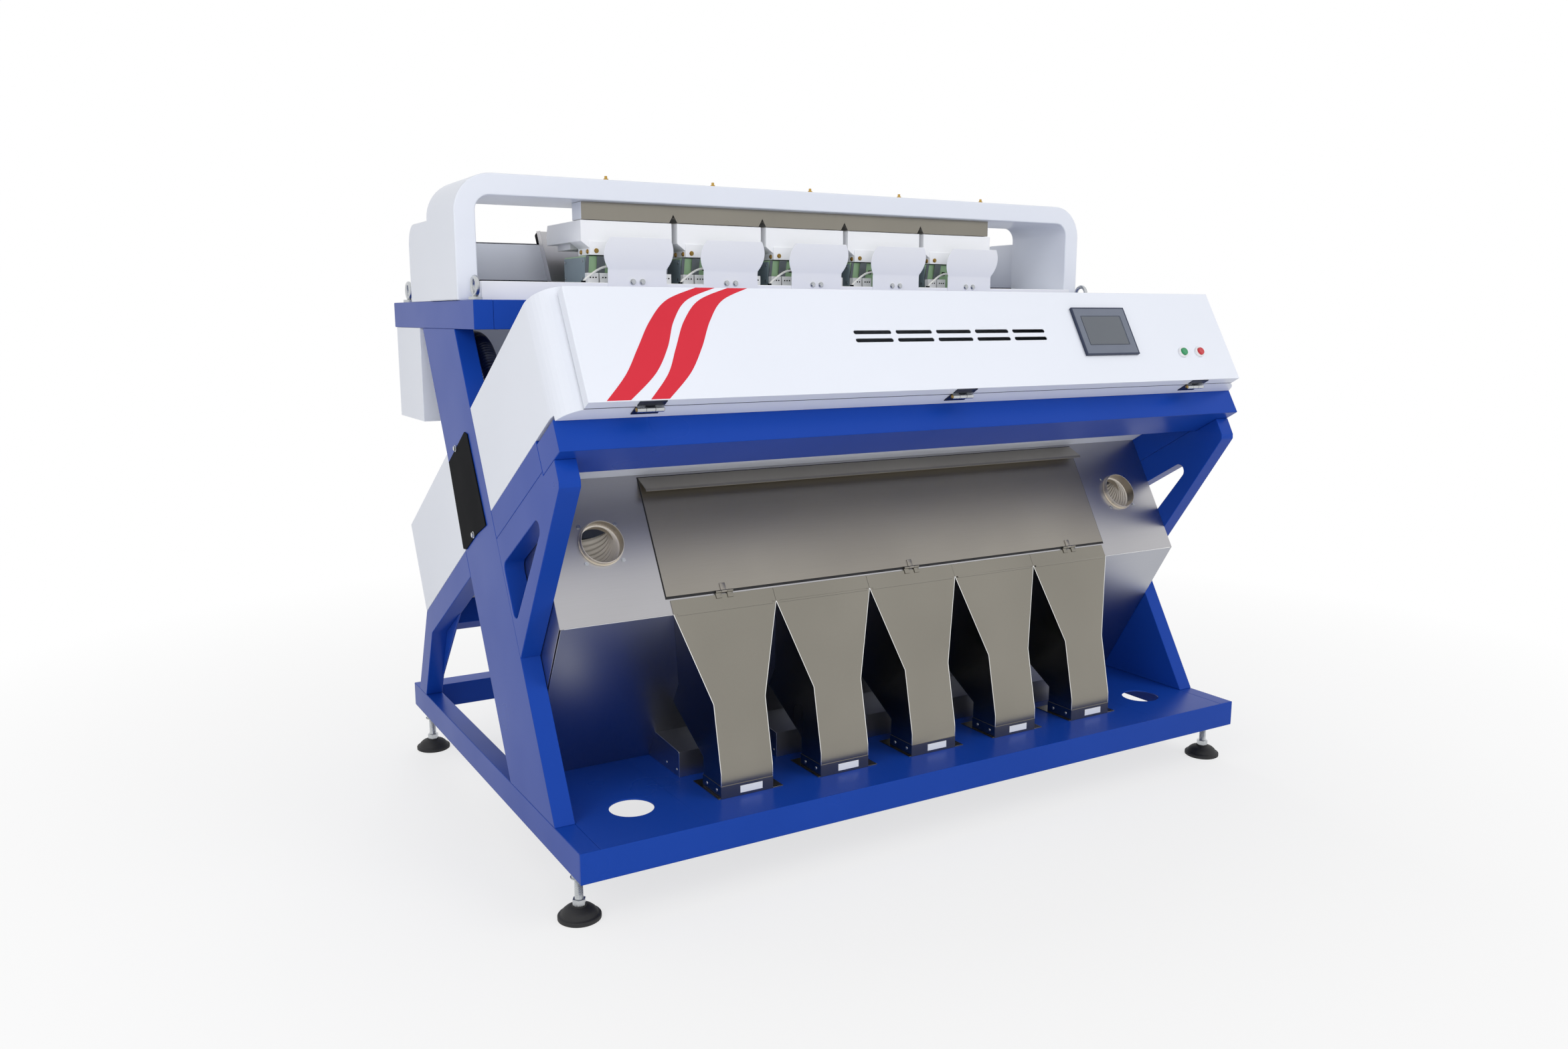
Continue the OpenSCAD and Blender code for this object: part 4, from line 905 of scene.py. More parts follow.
@dataclass
class FrontBox:
    """Front optical box with its fold-down door, screen, buttons and stripes."""

    door_n: float = -520.0
    door_bottom: float = 916.0
    film_mm: float = 0.3
    hinge_split: float = 900.0
    screen_at: Pair = (530.0, 1070.0)
    screen_size: Pair = (194.0, 143.0)
    rim_gap: float = 0.6
    # How far the rim's front and back stand out of the door
    rim_rises: Pair = (8.5, 0.3)
    rim_width: float = 4.0
    button_m: float = 1002.0
    button_rise: float = 12.0
    buttons: Pair = (805.0, 872.0)
    hinge_xs: tuple[float, ...] = (-850.0, 0.0, 839.0)
    hinge_axis: Pair = (-490.0, 909.0)
    # Length and radius of a hinge
    hinge_size: Pair = (64.0, 6.2)
    knuckle_gap: float = 0.8
    knuckle_edge: float = 0.3
    # Radius and height of a cap on a hinge pin
    pin_cap: Pair = (5.2, 1.6)
    # Place of the dark strip of painted shade behind the door, from the door's face and lower edge, then its
    # depth and height
    shade_strip_at: Pair = (30.2, 1.05)
    shade_strip_size: Pair = (2.4, 0.4)
    door_half: float = 999.0
    # Left and right edges of each stripe, from the top down
    stripes: tuple[tuple[tuple[Pair, ...], ...], ...] = (
        (
            ((-681, 1193), (-762, 1160), (-815, 1107), (-859, 1041), (-901, 978), (-958, 918)),
            ((-632, 1193), (-712, 1160), (-757, 1107), (-788, 1041), (-832, 978), (-903, 918)),
        ),
        (
            ((-600, 1193), (-682, 1160), (-732, 1107), (-768, 1041), (-802, 978), (-857, 918)),
            ((-548, 1193), (-622, 1160), (-667, 1107), (-704, 1041), (-748, 978), (-813, 918)),
        ),
    )

    def build(self) -> None:
        """Rounds the box and its door and adds what they carry."""
        SHOP.soften(POWDER_WHITE, 1.2, "front_box_shell")
        SHOP.soften(POWDER_WHITE, 1.4, "front_door")
        SHOP.soften(BLACK_STEEL, 0.4, "door_hinge_leaves")
        SHOP.soften(BLACK_STEEL, 0.4, "fixed_hinge_leaves", part=self.on_box, label="black")
        SHOP.soften(STAINLESS_DOWN_SHADED, 0.3, "fixed_hinge_leaves", part=self.on_panel, label="bright")
        SHOP.soften(ABS_SLATE, 2.4, "touch_screen", steps=3)
        self.build_rim()
        self.build_barrels()
        SHOP.keep(SCREEN, "screen_glass")
        SHOP.soften(ABS_WHITE, 0.9, "button_collars")
        self.build_buttons()
        self.build_stripes()
        self.build_pin_caps()

    def on_box(self, middle: Vector) -> bool:
        """Tells the painted doors' hinges from those of the stainless panel below."""
        return middle.z > self.hinge_split * MM

    def on_panel(self, middle: Vector) -> bool:
        """Tells the stainless panel's hinges from those of the painted doors."""
        return not self.on_box(middle)

    def build_barrels(self) -> None:
        """Sleeves the door hinges' knuckles in bright plate, and lays a dark strip in the gap behind the
        door as painted shade.
        """
        length, radius = self.hinge_size
        third = length / 3 - self.knuckle_gap
        edge = self.knuckle_edge
        rim = radius - edge
        outline = [(0, 0), (rim, 0), (radius, edge), (radius, third - edge), (rim, third), (0, third)]
        kinds = (("frame_barrels", Body.FRAME, (-1, 1)), ("door_barrels", Body.DOOR, (0,)))
        for name, body, shares in kinds:
            barrels = bmesh.new()
            for x in self.hinge_xs:
                for share in shares:
                    start = lean_point(x + share * length / 3 - third / 2, *self.hinge_axis)
                    add_lathe(barrels, outline, start, RIGHT, 24)
            SHOP.piece(name, barrels, ZINC, "zinc", body)
        gap = bmesh.new()
        n, m = self.door_n + self.shade_strip_at[0], self.door_bottom + self.shade_strip_at[1]
        depth, height = self.shade_strip_size
        add_box(gap, (-self.door_half, n, m - height), (self.door_half, n + depth, m), lean_point)
        SHOP.piece("door_gasket", gap, RUBBER, "black_rubber")

    def build_rim(self) -> None:
        """Frames the screen's bezel with a dark rim."""
        rim = bmesh.new()
        half_w, half_h = (size / 2 + self.rim_gap for size in self.screen_size)
        front, back = (self.door_n - rise for rise in self.rim_rises)
        x, m = self.screen_at
        low = (x - half_w, front, m - half_h)
        add_frame(rim, low, (x + half_w, back, m + half_h), self.rim_width, lean_point)
        SHOP.round_edges(SHOP.piece("screen_rim", rim, ABS_NAVY, "black_plastic", Body.DOOR), 0.8)

    def build_buttons(self) -> None:
        """Makes domed caps for the two push buttons."""
        profile = [
            (0, -28), (10.4, -28), (10.9, -27), (10.9, -2.4), (10.6, -1.2), (9.8, -0.4), (8.6, 0),
            (6, -0.35), (3, -0.5), (0, -0.55),
        ]
        kinds = ((CAP_GREEN, "green_plastic", Body.GREEN), (CAP_RED, "red_plastic", Body.RED))
        for x, (finish, slot, body) in zip(self.buttons, kinds):
            cap = bmesh.new()
            top = lean_point(x, self.door_n - self.button_rise, self.button_m)
            add_lathe(cap, profile, top, OUT_OF_DOOR, 40)
            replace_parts(SHOP.piece(f"{body.value}_cap", cap, finish, slot, body), body.value)

    def build_stripes(self) -> None:
        """Lays two curved bands of red film on the door."""
        film = bmesh.new()
        for edges in self.stripes:
            sides = [smooth_route([lean_point(x, self.door_n, m) for x, m in edge], 10) for edge in edges]
            lift = OUT_OF_DOOR * self.film_mm * MM
            rows = [[film.verts.new(p) for p in (a, a + lift, b + lift, b)] for a, b in zip(*sides)]
            add_loops(film, rows)
            film.faces.new(rows[0])
            film.faces.new(rows[-1][::-1])
        SHOP.piece("door_stripes", film, VINYL_RED, "red_plastic", Body.DOOR)

    def build_pin_caps(self) -> None:
        """Sets brass caps on the ends of the hinge pins."""
        end = self.hinge_size[0] / 2 + 0.2
        caps = [
            (lean_point(x + side * end, *self.hinge_axis), RIGHT * side)
            for x in self.hinge_xs for side in (-1, 1)
        ]
        fasten("hinge_pin_caps", Head.RIVET, caps, *self.pin_cap, BRASS)


@dataclass
class RearBox:
    """Rear optical box, service panel, electrical cabinet and air hose."""

    rear_n: float = 906.0
    panel_mm: float = 3.0
    screw_xs: tuple[float, ...] = tuple(range(-1000, 1001, 250))
    screw_ms: Pair = (960.0, 1182.0)
    # Length, radius and rise of a louvre
    louvre_size: Point = (240.0, 7.0, 5.0)
    louvre_rows: tuple[float, ...] = (1010.0, 1035.0, 1060.0, 1085.0, 1110.0)
    louvre_xs: tuple[float, ...] = (-620.0, -310.0, 0.0, 310.0, 620.0)
    flap_y: float = 1456.0
    latch_xs: tuple[float, ...] = (-780.0, 0.0, 780.0)
    latch_z: float = 985.0
    # Half width and half height of a latch's key, and how far its two faces stand out
    key_half: Pair = (1.6, 7.0)
    key_rises: Pair = (1.4, 3.4)
    # Where the hose meets the ejector manifold, square to the legs and along them
    manifold_at: Pair = (345.0, 910.0)
    hose_x: float = -950.0
    hose_d: float = 50.0
    hose_rib: float = 2.2
    hose_pitch: float = 9.0
    hose_step: float = 1.5
    hose_route: tuple[Pair, ...] = (
        (1164.7, 1120), (1140, 1120), (1100, 1135), (1040, 1158), (965, 1166), (900, 1150), (850, 1112),
        (812, 1060), (785, 1000), (765, 930), (760, 860), (768, 790),
    )

    def build(self) -> None:
        """Rounds the boxes and adds louvres, screws, latches and the hose."""
        SHOP.soften(POWDER_WHITE, 1.2, "rear_box_shell", "rear_service_panel")
        SHOP.soften(POWDER_WHITE, 1.4, "electrical_cabinet", "cabinet_flap")
        self.build_panel()
        self.build_latches()
        self.build_hose()

    def build_panel(self) -> None:
        """Presses louvres into the service panel and screws it down."""
        face = self.rear_n + self.panel_mm
        outward = OUT_OF_DOOR * -1
        rows = [(lean_point(x, face, m), outward) for x in self.louvre_xs for m in self.louvre_rows]
        base = points_mesh("louvres", rows)
        SHOP.grow("service_panel_louvres", base, LOUVRES, self.louvre_size, POWDER_WHITE)
        spots = [(lean_point(x, face, m), outward) for x in self.screw_xs for m in self.screw_ms]
        fasten("service_panel_screws", Head.PAN, spots, 5, 2.6, washer_mm=7)

    def build_latches(self) -> None:
        """Adds quarter-turn latches near the flap's lower edge."""
        rims = bmesh.new()
        outline = [(0, 0), (15, 0), (15, 1.6), (13.6, 2.6), (9, 2.6), (8.6, 1.6), (0, 1.6)]
        wide, tall = self.key_half
        near, far = (self.flap_y + rise for rise in self.key_rises)
        for x in self.latch_xs:
            add_lathe(rims, outline, machine_point(x, self.flap_y, self.latch_z), BACK, 32)
            low = (x - wide, near, self.latch_z - tall)
            add_box(rims, low, (x + wide, far, self.latch_z + tall))
        SHOP.piece("flap_latches", rims, ZINC, "zinc", Body.FLAP)

    def build_hose(self) -> None:
        """Sweeps the corrugated hose from the cabinet to the manifold."""
        points = [machine_point(self.hose_x, y, z) for y, z in self.hose_route]
        n, m = self.manifold_at
        points += [lean_point(self.hose_x, n, m + rise) for rise in (100, 50, 0.5)]
        route = smooth_route(points, 6)
        middle = self.hose_d / 2 - self.hose_rib
        sizes_mm = (middle, self.hose_pitch, self.hose_rib, self.hose_step)
        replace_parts(sweep("air_hose_ribbed", [route], sizes_mm, PVC_NAVY), "air_hose")


@dataclass
class Feeders:
    """Hood, hopper, vibrating pans and their drive units on the top frame."""

    hood_z: float = 1588.0
    hood_y: float = 746.0
    platform_z: float = 1318.0
    stud_xs: tuple[float, ...] = (-640.0, -320.0, 0.0, 320.0, 640.0)
    stud_inset: float = 12.0
    drive_half: float = 119.0
    drive_ys: Pair = (792.0, 953.0)
    drive_top: float = 1391.0
    neck_half: float = 30.0
    neck_ys: Pair = (810.0, 848.0)
    neck_top: float = 1423.0
    # Half width and half thickness of an upright leaf spring
    spring_half: Pair = (60.0, 1.5)
    spring_ys: Pair = (880.0, 940.0)
    spring_top: float = 1428.6
    # Leaning leaf springs before a drive unit: inner and outer edges, faces, foot and lean
    strap_xs: tuple[Pair, ...] = ((113.0, 122.0), (66.0, 90.0))
    strap_ys: Pair = (780.0, 783.0)
    strap_foot: float = 24.0
    strap_lean: float = 0.2
    cover_half: float = 122.0
    cover_ys: Pair = (794.0, 949.0)
    cover_inset: float = 4.0
    # How far a cover's screws sit from its ends and from the unit's foot and top
    cover_screw_inset: Pair = (12.0, 14.0)
    hopper_half: float = 699.75
    end_plate_mm: float = 1.2
    end_plate_ys: Pair = (790.5, 855.5)
    end_plate_zs: Pair = (1486.5, 1532.0)
    strip_xs: tuple[float, ...] = (-124.0, -88.0, 56.0, 92.0)
    strip_ys: Pair = (769.0, 788.0)
    # Width and height of a terminal strip, then the places of its screws
    strip_size: Pair = (32.0, 27.0)
    terminals: tuple[Pair, ...] = ((8.0, 15.0), (16.0, 15.0), (24.0, 15.0))
    # Bolts of a pan's brackets, on the sides and in front
    side_bolts: tuple[Point, ...] = ((110.2, 797.0, 1402.0), (110.2, 845.0, 1402.0))
    front_bolt: Point = (92.0, 781.0, 1404.0)
    guard_bolt: Point = (14.0, 718.0, 1321.0)
    # Thickness and bolts of the legs' cover plates
    plate_mm: float = 3.0
    plate_bolts: tuple[Pair, ...] = ((838.0, 884.0), (704.0, 672.0))
    lead_d: float = 6.0
    lead: tuple[Point, ...] = (
        (-147, 741, 1319.4), (-145.2, 741, 1322.4), (-142.8, 741, 1326), (-138.2, 741, 1330.3),
        (-130, 741.5, 1335.8), (-121, 742.5, 1341.8), (-106, 744.5, 1351), (-90, 747.5, 1358),
        (-73, 751, 1361.5), (-61, 754.2, 1362.5), (-52.2, 763, 1363), (-49, 775, 1363), (-49, 789.7, 1363),
    )

    def build(self) -> None:
        """Rounds the sheet metal and adds drive units, leads and studs."""
        SHOP.soften(POWDER_WHITE, 4.0, "feeder_hood", steps=3)
        SHOP.soften(POWDER_WHITE, 1.6, "rear_hood")
        # The platform, guards and pans take the whiter coat of painted light
        SHOP.soften(POWDER_WHITE_LIT, 1.6, "feeder_platform")
        SHOP.soften(POWDER_WHITE_LIT, 0.8, "feeder_guards", *(f"feeder_pan_{k}" for k in range(1, 6)))
        SHOP.soften(STAINLESS_DOWN_SHADED, 0.5, "feed_hopper")
        SHOP.soften(STAINLESS, 0.5, "chutes")
        SHOP.soften(POWDER_BLACK, 0.8, "chute_bars")
        self.build_hopper_ends()
        self.build_drives()
        self.build_terminals()
        self.build_leads()
        self.build_studs()

    def build_hopper_ends(self) -> None:
        """Closes the hopper's ends with white plates."""
        plates = bmesh.new()
        (near, far), (bottom, top) = self.end_plate_ys, self.end_plate_zs
        for side in (-1, 1):
            low = (side * self.hopper_half, near, bottom)
            add_box(plates, low, (side * (self.hopper_half + self.end_plate_mm), far, top))
        SHOP.round_edges(SHOP.piece("hopper_end_plates", plates, POWDER_WHITE, "panel_white"), 0.4)

    def build_drives(self) -> None:
        """Makes the cast drive units with their side covers, leaf springs and screws."""
        cast, covers, springs = bmesh.new(), bmesh.new(), bmesh.new()
        screws: Spots = []
        foot, top = self.platform_z, self.drive_top
        half, (front, back) = self.drive_half, self.drive_ys
        neck, (neck_front, neck_back) = self.neck_half, self.neck_ys
        wide, thin = self.spring_half
        (strap_front, strap_back), (cover_front, cover_back) = self.strap_ys, self.cover_ys
        along, up = self.cover_screw_inset
        corners = [(y, z) for y in (cover_front + along, cover_back - along) for z in (foot + up, top - up)]
        for c in CHANNELS:
            add_box(cast, (c - half, front, foot + 0.2), (c + half, back, top))
            add_box(cast, (c - neck, neck_front, top - 2), (c + neck, neck_back, self.neck_top))
            for y in self.spring_ys:
                add_box(springs, (c - wide, y - thin, top - 1), (c + wide, y + thin, self.spring_top))
            for side in (-1, 1):
                face = c + side * self.cover_half
                low = (c + side * (half - 1), cover_front, foot + self.cover_inset)
                add_box(covers, low, (face, cover_back, top - self.cover_inset))
                for inner, outer in self.strap_xs:
                    low = (c + side * inner, strap_front, foot + self.strap_foot)
                    add_box(springs, low, (c + side * outer, strap_back, top - 1), self.leaning_strip)
                screws += [(machine_point(face, y, z), RIGHT * side) for y, z in corners]
        # The cast units take the green that is lightened as painted light
        drives = SHOP.piece("drive_units_cast", cast, ENAMEL_GREEN_LIT, "green_paint")
        SHOP.round_edges(drives, 2.0, 3)
        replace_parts(drives, "feeder_magnets")
        SHOP.round_edges(SHOP.piece("drive_unit_covers", covers, ENAMEL_SLATE, "green_paint"), 1.0)
        SHOP.round_edges(SHOP.piece("leaf_springs", springs, ALUMINIUM, "zinc"), 0.5)
        fasten("drive_cover_screws", Head.PAN, screws, 3.2, 2.2)

    def leaning_strip(self, x: float, y: float, z: float) -> Vector:
        """Places a point of a leaf spring, which leans back towards its foot."""
        return machine_point(x, y + (self.drive_top - z) * self.strap_lean, z)

    def build_terminals(self) -> None:
        """Sets terminal strips before the drive units and bolts on the pans' brackets."""
        strips = bmesh.new()
        screws: Spots = []
        foot, (near, far) = self.platform_z, self.strip_ys
        wide, tall = self.strip_size
        sides = (-1, 1)
        for k, c in enumerate(CHANNELS, 1):
            for x in self.strip_xs:
                add_box(strips, (c + x, near, foot + 0.2), (c + x + wide, far, foot + tall))
                screws += [
                    (machine_point(c + x + dx, near, foot + dz), FORWARD) for dx, dz in self.terminals
                ]
            bolts = [
                (machine_point(c + side * x, y, z), RIGHT * side)
                for side in sides for x, y, z in self.side_bolts
            ]
            across, y, z = self.front_bolt
            bolts += [(machine_point(c + side * across, y, z), FORWARD) for side in sides]
            fasten(f"bracket_bolts_{k}", Head.HEX, bolts, 5.0, 4.0, BRASS, f"feeder_pan_{k}", 6.5)
        SHOP.round_edges(SHOP.piece("terminal_strips", strips, ABS_WHITE, "white_plastic"), 1.0)
        fasten("terminal_screws", Head.PAN, screws, 2.0, 0.6, POWDER_BLACK)

    def build_leads(self) -> None:
        """Sweeps the white leads from the platform to the drive units."""
        for k, c in enumerate(CHANNELS, 1):
            route = smooth_route([machine_point(c + x, y, z) for x, y, z in self.lead])
            sizes_mm = (self.lead_d / 2, *PLAIN, 2)
            lead = sweep(f"feeder_lead_{k}", [route], sizes_mm, PVC_WHITE)
            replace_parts(lead, "feeder_leads")
        (x, y, _), (end_x, _, end_z) = self.lead[0], self.lead[-1]
        glands = [(machine_point(c + x, y, self.platform_z), UP) for c in CHANNELS]
        glands += [(machine_point(c + end_x, self.drive_ys[0], end_z), FORWARD) for c in CHANNELS]
        fasten("lead_glands", Head.HEX, glands, 6.5, 5.0, POWDER_BLACK)

    def build_studs(self) -> None:
        """Sets the brass studs on the hood and the bolts of the guards and cover plates."""
        studs = bmesh.new()
        profile = [(0, 0), (6.5, 0), (6.5, 3), (4, 3.4), (4, 8.6), (3.4, 10), (0, 10)]
        for x in self.stud_xs:
            add_lathe(studs, profile, machine_point(x, self.hood_y + self.stud_inset, self.hood_z), UP, 20)
        brass = SHOP.piece("hood_studs", studs, BRASS, "zinc")
        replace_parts(brass, "fasteners")
        sides = (-1, 1)
        across, y, z = self.guard_bolt
        bolts = [(machine_point(c + side * across, y, z), FORWARD) for c in CHANNELS for side in sides]
        SHOP.round_edges(fasten("guard_bolts", Head.HEX, bolts, 6.4, 5.0, washer_mm=8.5), 0.4)
        out = HALF_WIDTH + self.plate_mm
        plates = [
            (machine_point(side * out, y, z), RIGHT * side) for side in sides for y, z in self.plate_bolts
        ]
        SHOP.round_edges(fasten("cover_plate_bolts", Head.HEX, plates, 7.0, 5.0, washer_mm=9), 0.4)


@dataclass
class Collector:
    """Stainless hopper with its inspection door, dust ports and two rows of spouts."""

    panel_n: float = -68.0
    panel_mm: float = 2.5
    port_x: float = 854.875
    port_m: float = 760.0
    port_screw: float = 47.0
    spout_y: float = 116.0
    spout_w: float = 143.0
    spout_wall: float = 1.5
    # Rivets on a front spout's sides, by y and z, then those of a rear one
    front_rivets: tuple[Pair, ...] = ((138.0, 90.0), (190.0, 90.0))
    rear_half: float = 98.0
    rear_rivets: tuple[Pair, ...] = ((312.0, 89.0), (372.0, 89.0))
    label_xs: Pair = (-20.0, 42.0)
    label_zs: Pair = (80.0, 98.0)
    label_mm: float = 0.8
    duct_r: float = 52.6
    duct_bend: float = 56.0
    duct_straight: float = 12.0
    duct_start: float = 0.2
    duct_ribs: float = 11.0
    rib_depth: float = 3.2
    duct_steps: int = 90
    duct_sides: int = 40
    duct_wall: float = 2.0
    door_half: float = 721.75
    door_ms: Pair = (607.0, 921.0)
    # How far the dark strip of painted shade reaches past the inspection door, around it and below
    shade_strip_reach: Pair = (2.6, 6.0)
    # How far the strip's front and back stand out of the panel
    shade_strip_rises: Pair = (0.45, 0.02)
    shade_strip_width: float = 9.0
    # Corners along the welded edges of a front and a rear spout, where beads of painted highlight run
    spout_edge: tuple[Point, ...] = (
        (142.3, 219.9, 520.8), (71.5, 152, 302), (71.5, 116, 136), (72, 115.4, 105),
    )
    rear_edge: tuple[Point, ...] = ((98, 296, 74), (98, 296, 140), (98, 439, 150))
    fold_m: float = 561.0
    fold_xs: Pair = (713.5, 990.0)

    def build(self) -> None:
        """Rounds the sheet and adds ducts, screws, rivets, label plates, beads of painted highlight and a
        strip of painted shade around the door.
        """
        SHOP.soften(STAINLESS, 0.5, "front_panel", "hopper_walls")
        SHOP.soften(STAINLESS_WARM_SHADED, 0.5, "inspection_door")
        SHOP.soften(STAINLESS_SPUN_LIT, 0.5, "port_collars")
        SHOP.soften(STAINLESS_SATIN, 0.5, "hopper_floor", "rear_spouts")
        SHOP.soften(STAINLESS_DOWN_SHADED, 0.5, *(f"front_spout_{k}" for k in range(1, 6)))
        self.build_ducts()
        self.build_screws()
        self.build_plates()
        self.build_highlight_beads()
        self.build_shade_strip()

    def build_ducts(self) -> None:
        """Bends the corrugated ducts upwards behind the dust ports."""
        ducts = bmesh.new()
        shares = [step / self.duct_steps for step in range(self.duct_steps + 1)]
        for side in (-1, 1):
            outer = [self.duct_ring(ducts, side, share, self.duct_wall) for share in shares]
            inner = [self.duct_ring(ducts, side, share, 0.0) for share in shares]
            for rings in (outer, inner, (outer[0], inner[0]), (outer[-1], inner[-1])):
                add_loops(ducts, rings)
        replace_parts(SHOP.piece("port_ducts_ribbed", ducts, PVC_GREY, "grey_hose"), "port_hoses")

    def duct_ring(self, shape: Shape, side: int, share: float, wall: float) -> list[bmesh.types.BMVert]:
        """Adds one ring of corners of a duct.

        Args:
            shape: mesh that gets the ring.
            side: -1 for the left port, 1 for the right one.
            share: how far the ring lies along the duct, from 0 to 1.
            wall: how far it lies outside the duct's bore.

        Returns:
            The ring's corners.
        """
        bent = max(0.0, share - self.duct_start) / (1 - self.duct_start)
        turn = bent * math.pi / 2
        straight = min(share / self.duct_start, 1.0) * self.duct_straight
        rib = (math.cos(bent * self.duct_ribs * 2 * math.pi) - 1) * self.rib_depth / 2
        radius = self.duct_r + rib + wall
        ring = []
        for k in range(self.duct_sides):
            around = 2 * math.pi * k / self.duct_sides
            reach = self.duct_bend + radius * math.sin(around)
            n = self.panel_n + self.panel_mm + straight + reach * math.sin(turn)
            m = self.port_m + self.duct_bend - reach * math.cos(turn)
            ring.append(shape.verts.new(lean_point(side * self.port_x + radius * math.cos(around), n, m)))
        return ring

    def build_screws(self) -> None:
        """Sets the screws of the ports and the rivets of the spouts."""
        sides = (-1, 1)
        away = self.port_screw
        around = [
            (lean_point(side * self.port_x + i * away, self.panel_n, self.port_m + j * away), OUT_OF_DOOR)
            for side in sides for i in sides for j in sides
        ]
        fasten("port_screws", Head.PAN, around, 4.4, 2.4, washer_mm=5.5)
        rivets: Spots = []
        for c in CHANNELS:
            for side, axis in ((-1, LEFT), (1, RIGHT)):
                x = c + side * (self.spout_w / 2 + self.spout_wall)
                rivets += [(machine_point(x, y, z), axis) for y, z in self.front_rivets]
                x = c + side * self.rear_half
                rivets += [(machine_point(x, y, z), axis) for y, z in self.rear_rivets]
        fasten("spout_rivets", Head.RIVET, rivets, 4.6, 2.2)

    def build_plates(self) -> None:
        """Sets a blank label plate on the collar of each front spout."""
        plates = bmesh.new()
        (left, right), (bottom, top) = self.label_xs, self.label_zs
        back = self.spout_y - self.spout_wall
        for c in CHANNELS:
            add_box(plates, (c + left, back - self.label_mm, bottom), (c + right, back, top))
        SHOP.round_edges(SHOP.piece("spout_label_plates", plates, LABEL, "white_plastic"), 0.25)

    def build_highlight_beads(self) -> None:
        """Lays bright polished beads along the folded edges of the spouts and the panel, as painted
        highlights on these edges.
        """
        sides = (-1, 1)
        kinds = (("front_spout_seams", self.spout_edge, 1.1), ("rear_spout_seams", self.rear_edge, 0.9))
        for name, edge, radius in kinds:
            routes = [[machine_point(c + s * x, y, z) for x, y, z in edge] for c in CHANNELS for s in sides]
            sweep(name, routes, (radius, *PLAIN, 4), POLISHED_HIGHLIGHT)
        folds = [[lean_point(s * x, self.panel_n, self.fold_m + 0.4) for x in self.fold_xs] for s in sides]
        sweep("panel_fold_edge", folds, (1, *PLAIN, 4), POLISHED_HIGHLIGHT)

    def build_shade_strip(self) -> None:
        """Runs a dark rubber strip around the inspection door's edge, as painted shade in the gap around it.
        """
        dark_strip = bmesh.new()
        bottom, top = self.door_ms
        gap, sill = self.shade_strip_reach
        front, back = (self.panel_n - rise for rise in self.shade_strip_rises)
        outer = self.door_half + gap
        low, high = (-outer, front, bottom - sill), (outer, back, top + gap)
        add_frame(dark_strip, low, high, self.shade_strip_width, lean_point)
        SHOP.piece("inspection_door_seal", dark_strip, RUBBER, "black_rubber")


@dataclass
class SortingUnit:
    """Cameras, lamps, windows and air valves between the boxes."""

    metal: tuple[str, ...] = ("ejector_manifold", "cameras")

    def build(self) -> None:
        """Gives the solids inside the boxes their finishes."""
        SHOP.keep(ALUMINIUM, *self.metal)
        SHOP.keep(ACRYLIC, "lamps")
        SHOP.keep(FLOAT_GLASS, "windows")
        SHOP.keep(RUBBER, "window_wipers")


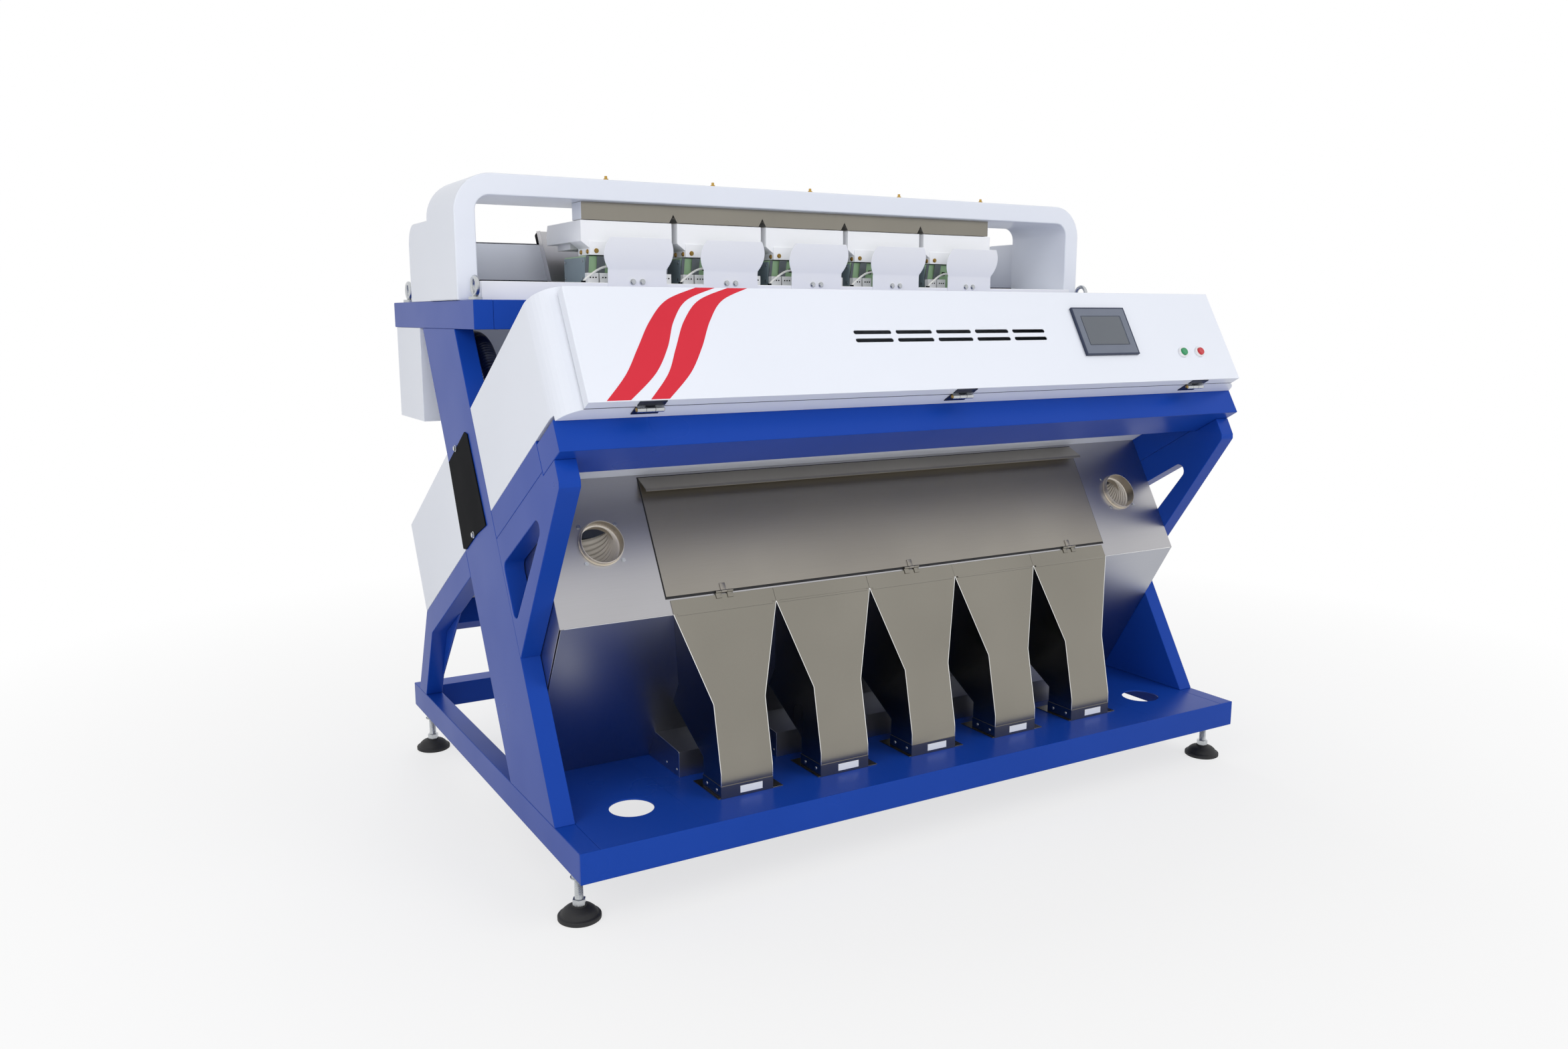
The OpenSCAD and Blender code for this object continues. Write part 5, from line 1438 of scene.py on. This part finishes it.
@dataclass
class Studio:
    """Pale floor, soft lamps and the camera at the photograph's angle."""

    camera_at: Point = (-1.9173, -3.0802, 1.3464)
    pitch: float = 80.22
    yaw: float = -30.47
    lens: float = 27.69
    sensor: float = 36.0
    ambient: float = 0.5
    floor_half: float = 30.0
    # Metres over which the floor fades to white, and how white it is near the machine
    fade: Pair = (1.2, 3.4)
    near_share: float = 0.7
    aim: Point = (0.0, 0.0, 0.8)
    # Place, size and power of each lamp
    lamps: tuple[tuple[Point, float, float], ...] = (
        ((2.6, -4.2, 4.0), 3.2, 86.0),
        ((-4.6, -2.0, 3.0), 3.0, 61.0),
        ((0.5, 4.5, 4.2), 3.0, 98.0),
        ((-1.8, -5.0, 1.5), 2.4, 55.0),
    )

    def build(self) -> None:
        """Makes the camera, the floor, the world and the lamps."""
        data = bpy.data.cameras.new("camera")
        data.lens = self.lens
        data.sensor_width = self.sensor
        data.sensor_fit = "HORIZONTAL"
        camera = SHOP.link("camera", data)
        camera.location = self.camera_at
        camera.rotation_euler = (math.radians(self.pitch), 0.0, math.radians(self.yaw))
        bpy.context.scene.camera = camera
        bpy.context.scene.view_settings.view_transform = "Standard"
        self.build_floor()
        self.build_world()
        self.build_lamps()

    def build_floor(self) -> None:
        """Lays a white floor that keeps the machine's shadow."""
        half = self.floor_half
        corners = [(-half, -half, 0.0), (half, -half, 0.0), (half, half, 0.0), (-half, half, 0.0)]
        mesh = bpy.data.meshes.new("floor")
        mesh.from_pydata(corners, [], [(0, 1, 2, 3)])
        floor = SHOP.link("floor", mesh)
        material = bpy.data.materials.new("studio_floor_white")
        material.use_nodes = True
        tree = material.node_tree
        tree.nodes.clear()
        add = partial(add_node, tree)
        place = add("ShaderNodeTexCoord", out="Object")
        away = add("ShaderNodeVectorMath", {0: place}, "Value", operation="LENGTH")
        near, far = self.fade
        fade = {"Value": away, "From Min": near, "From Max": far, "To Min": self.near_share, "To Max": 1.0}
        plain = add("ShaderNodeMapRange", fade)
        share = add("ShaderNodeMath", {0: self.seen_share(tree), 1: plain}, operation="MULTIPLY")
        matt = add("ShaderNodeBsdfDiffuse", {"Color": linear("#E6E6E6")})
        glow = add("ShaderNodeEmission", {"Color": linear("#FFFFFF"), "Strength": 1.0})
        both = add("ShaderNodeMixShader", {0: share, 1: matt, 2: glow})
        add("ShaderNodeOutputMaterial", {"Surface": both}, None)
        mesh.materials.append(material)

    @staticmethod
    def seen_share(tree: Tree) -> Socket:
        """Tells rays that show the backdrop, direct or mirrored, from rays that light the machine.

        Args:
            tree: tree of the floor's or the world's nodes.

        Returns:
            1 for the rays that show it and 0 for the others.
        """
        seen = add_node(tree, "ShaderNodeLightPath", out=None)
        direct = {0: seen["Is Camera Ray"], 1: seen["Is Glossy Ray"]}
        first = add_node(tree, "ShaderNodeMath", direct, operation="MAXIMUM")
        through = {0: first, 1: seen["Is Transmission Ray"]}
        return add_node(tree, "ShaderNodeMath", through, operation="MAXIMUM")

    def build_world(self) -> None:
        """Makes a backdrop that is white where it is seen and dimmer where it lights."""
        world = bpy.data.worlds.new("studio")
        bpy.context.scene.world = world
        world.use_nodes = True
        tree = world.node_tree
        level = {"Value": self.seen_share(tree), "To Min": self.ambient, "To Max": 1.0}
        strength = add_node(tree, "ShaderNodeMapRange", level)
        feed(tree, tree.nodes["Background"], {"Color": linear("#FFFFFF"), "Strength": strength})

    def build_lamps(self) -> None:
        """Hangs large soft lamps that face the machine."""
        for index, (place, size, watts) in enumerate(self.lamps):
            data = bpy.data.lights.new(f"lamp_{index}", "AREA")
            data.size = size
            data.energy = watts
            lamp = SHOP.link(f"lamp_{index}", data)
            lamp.location = place
            lamp.visible_glossy = False
            ray = Vector(self.aim) - Vector(place)
            lamp.rotation_euler = ray.to_track_quat("-Z", "Y").to_euler()


def main() -> None:
    """Builds the studio and each sub-assembly."""
    logging.basicConfig(level=logging.INFO, format="%(name)s: %(message)s")
    for assembly in (Studio(), WeldedFrame(), FrontBox(), RearBox(), Feeders(), Collector(), SortingUnit()):
        assembly.build()
        LOG.info("built %s", type(assembly).__name__)


if __name__ == "__main__":
    main()
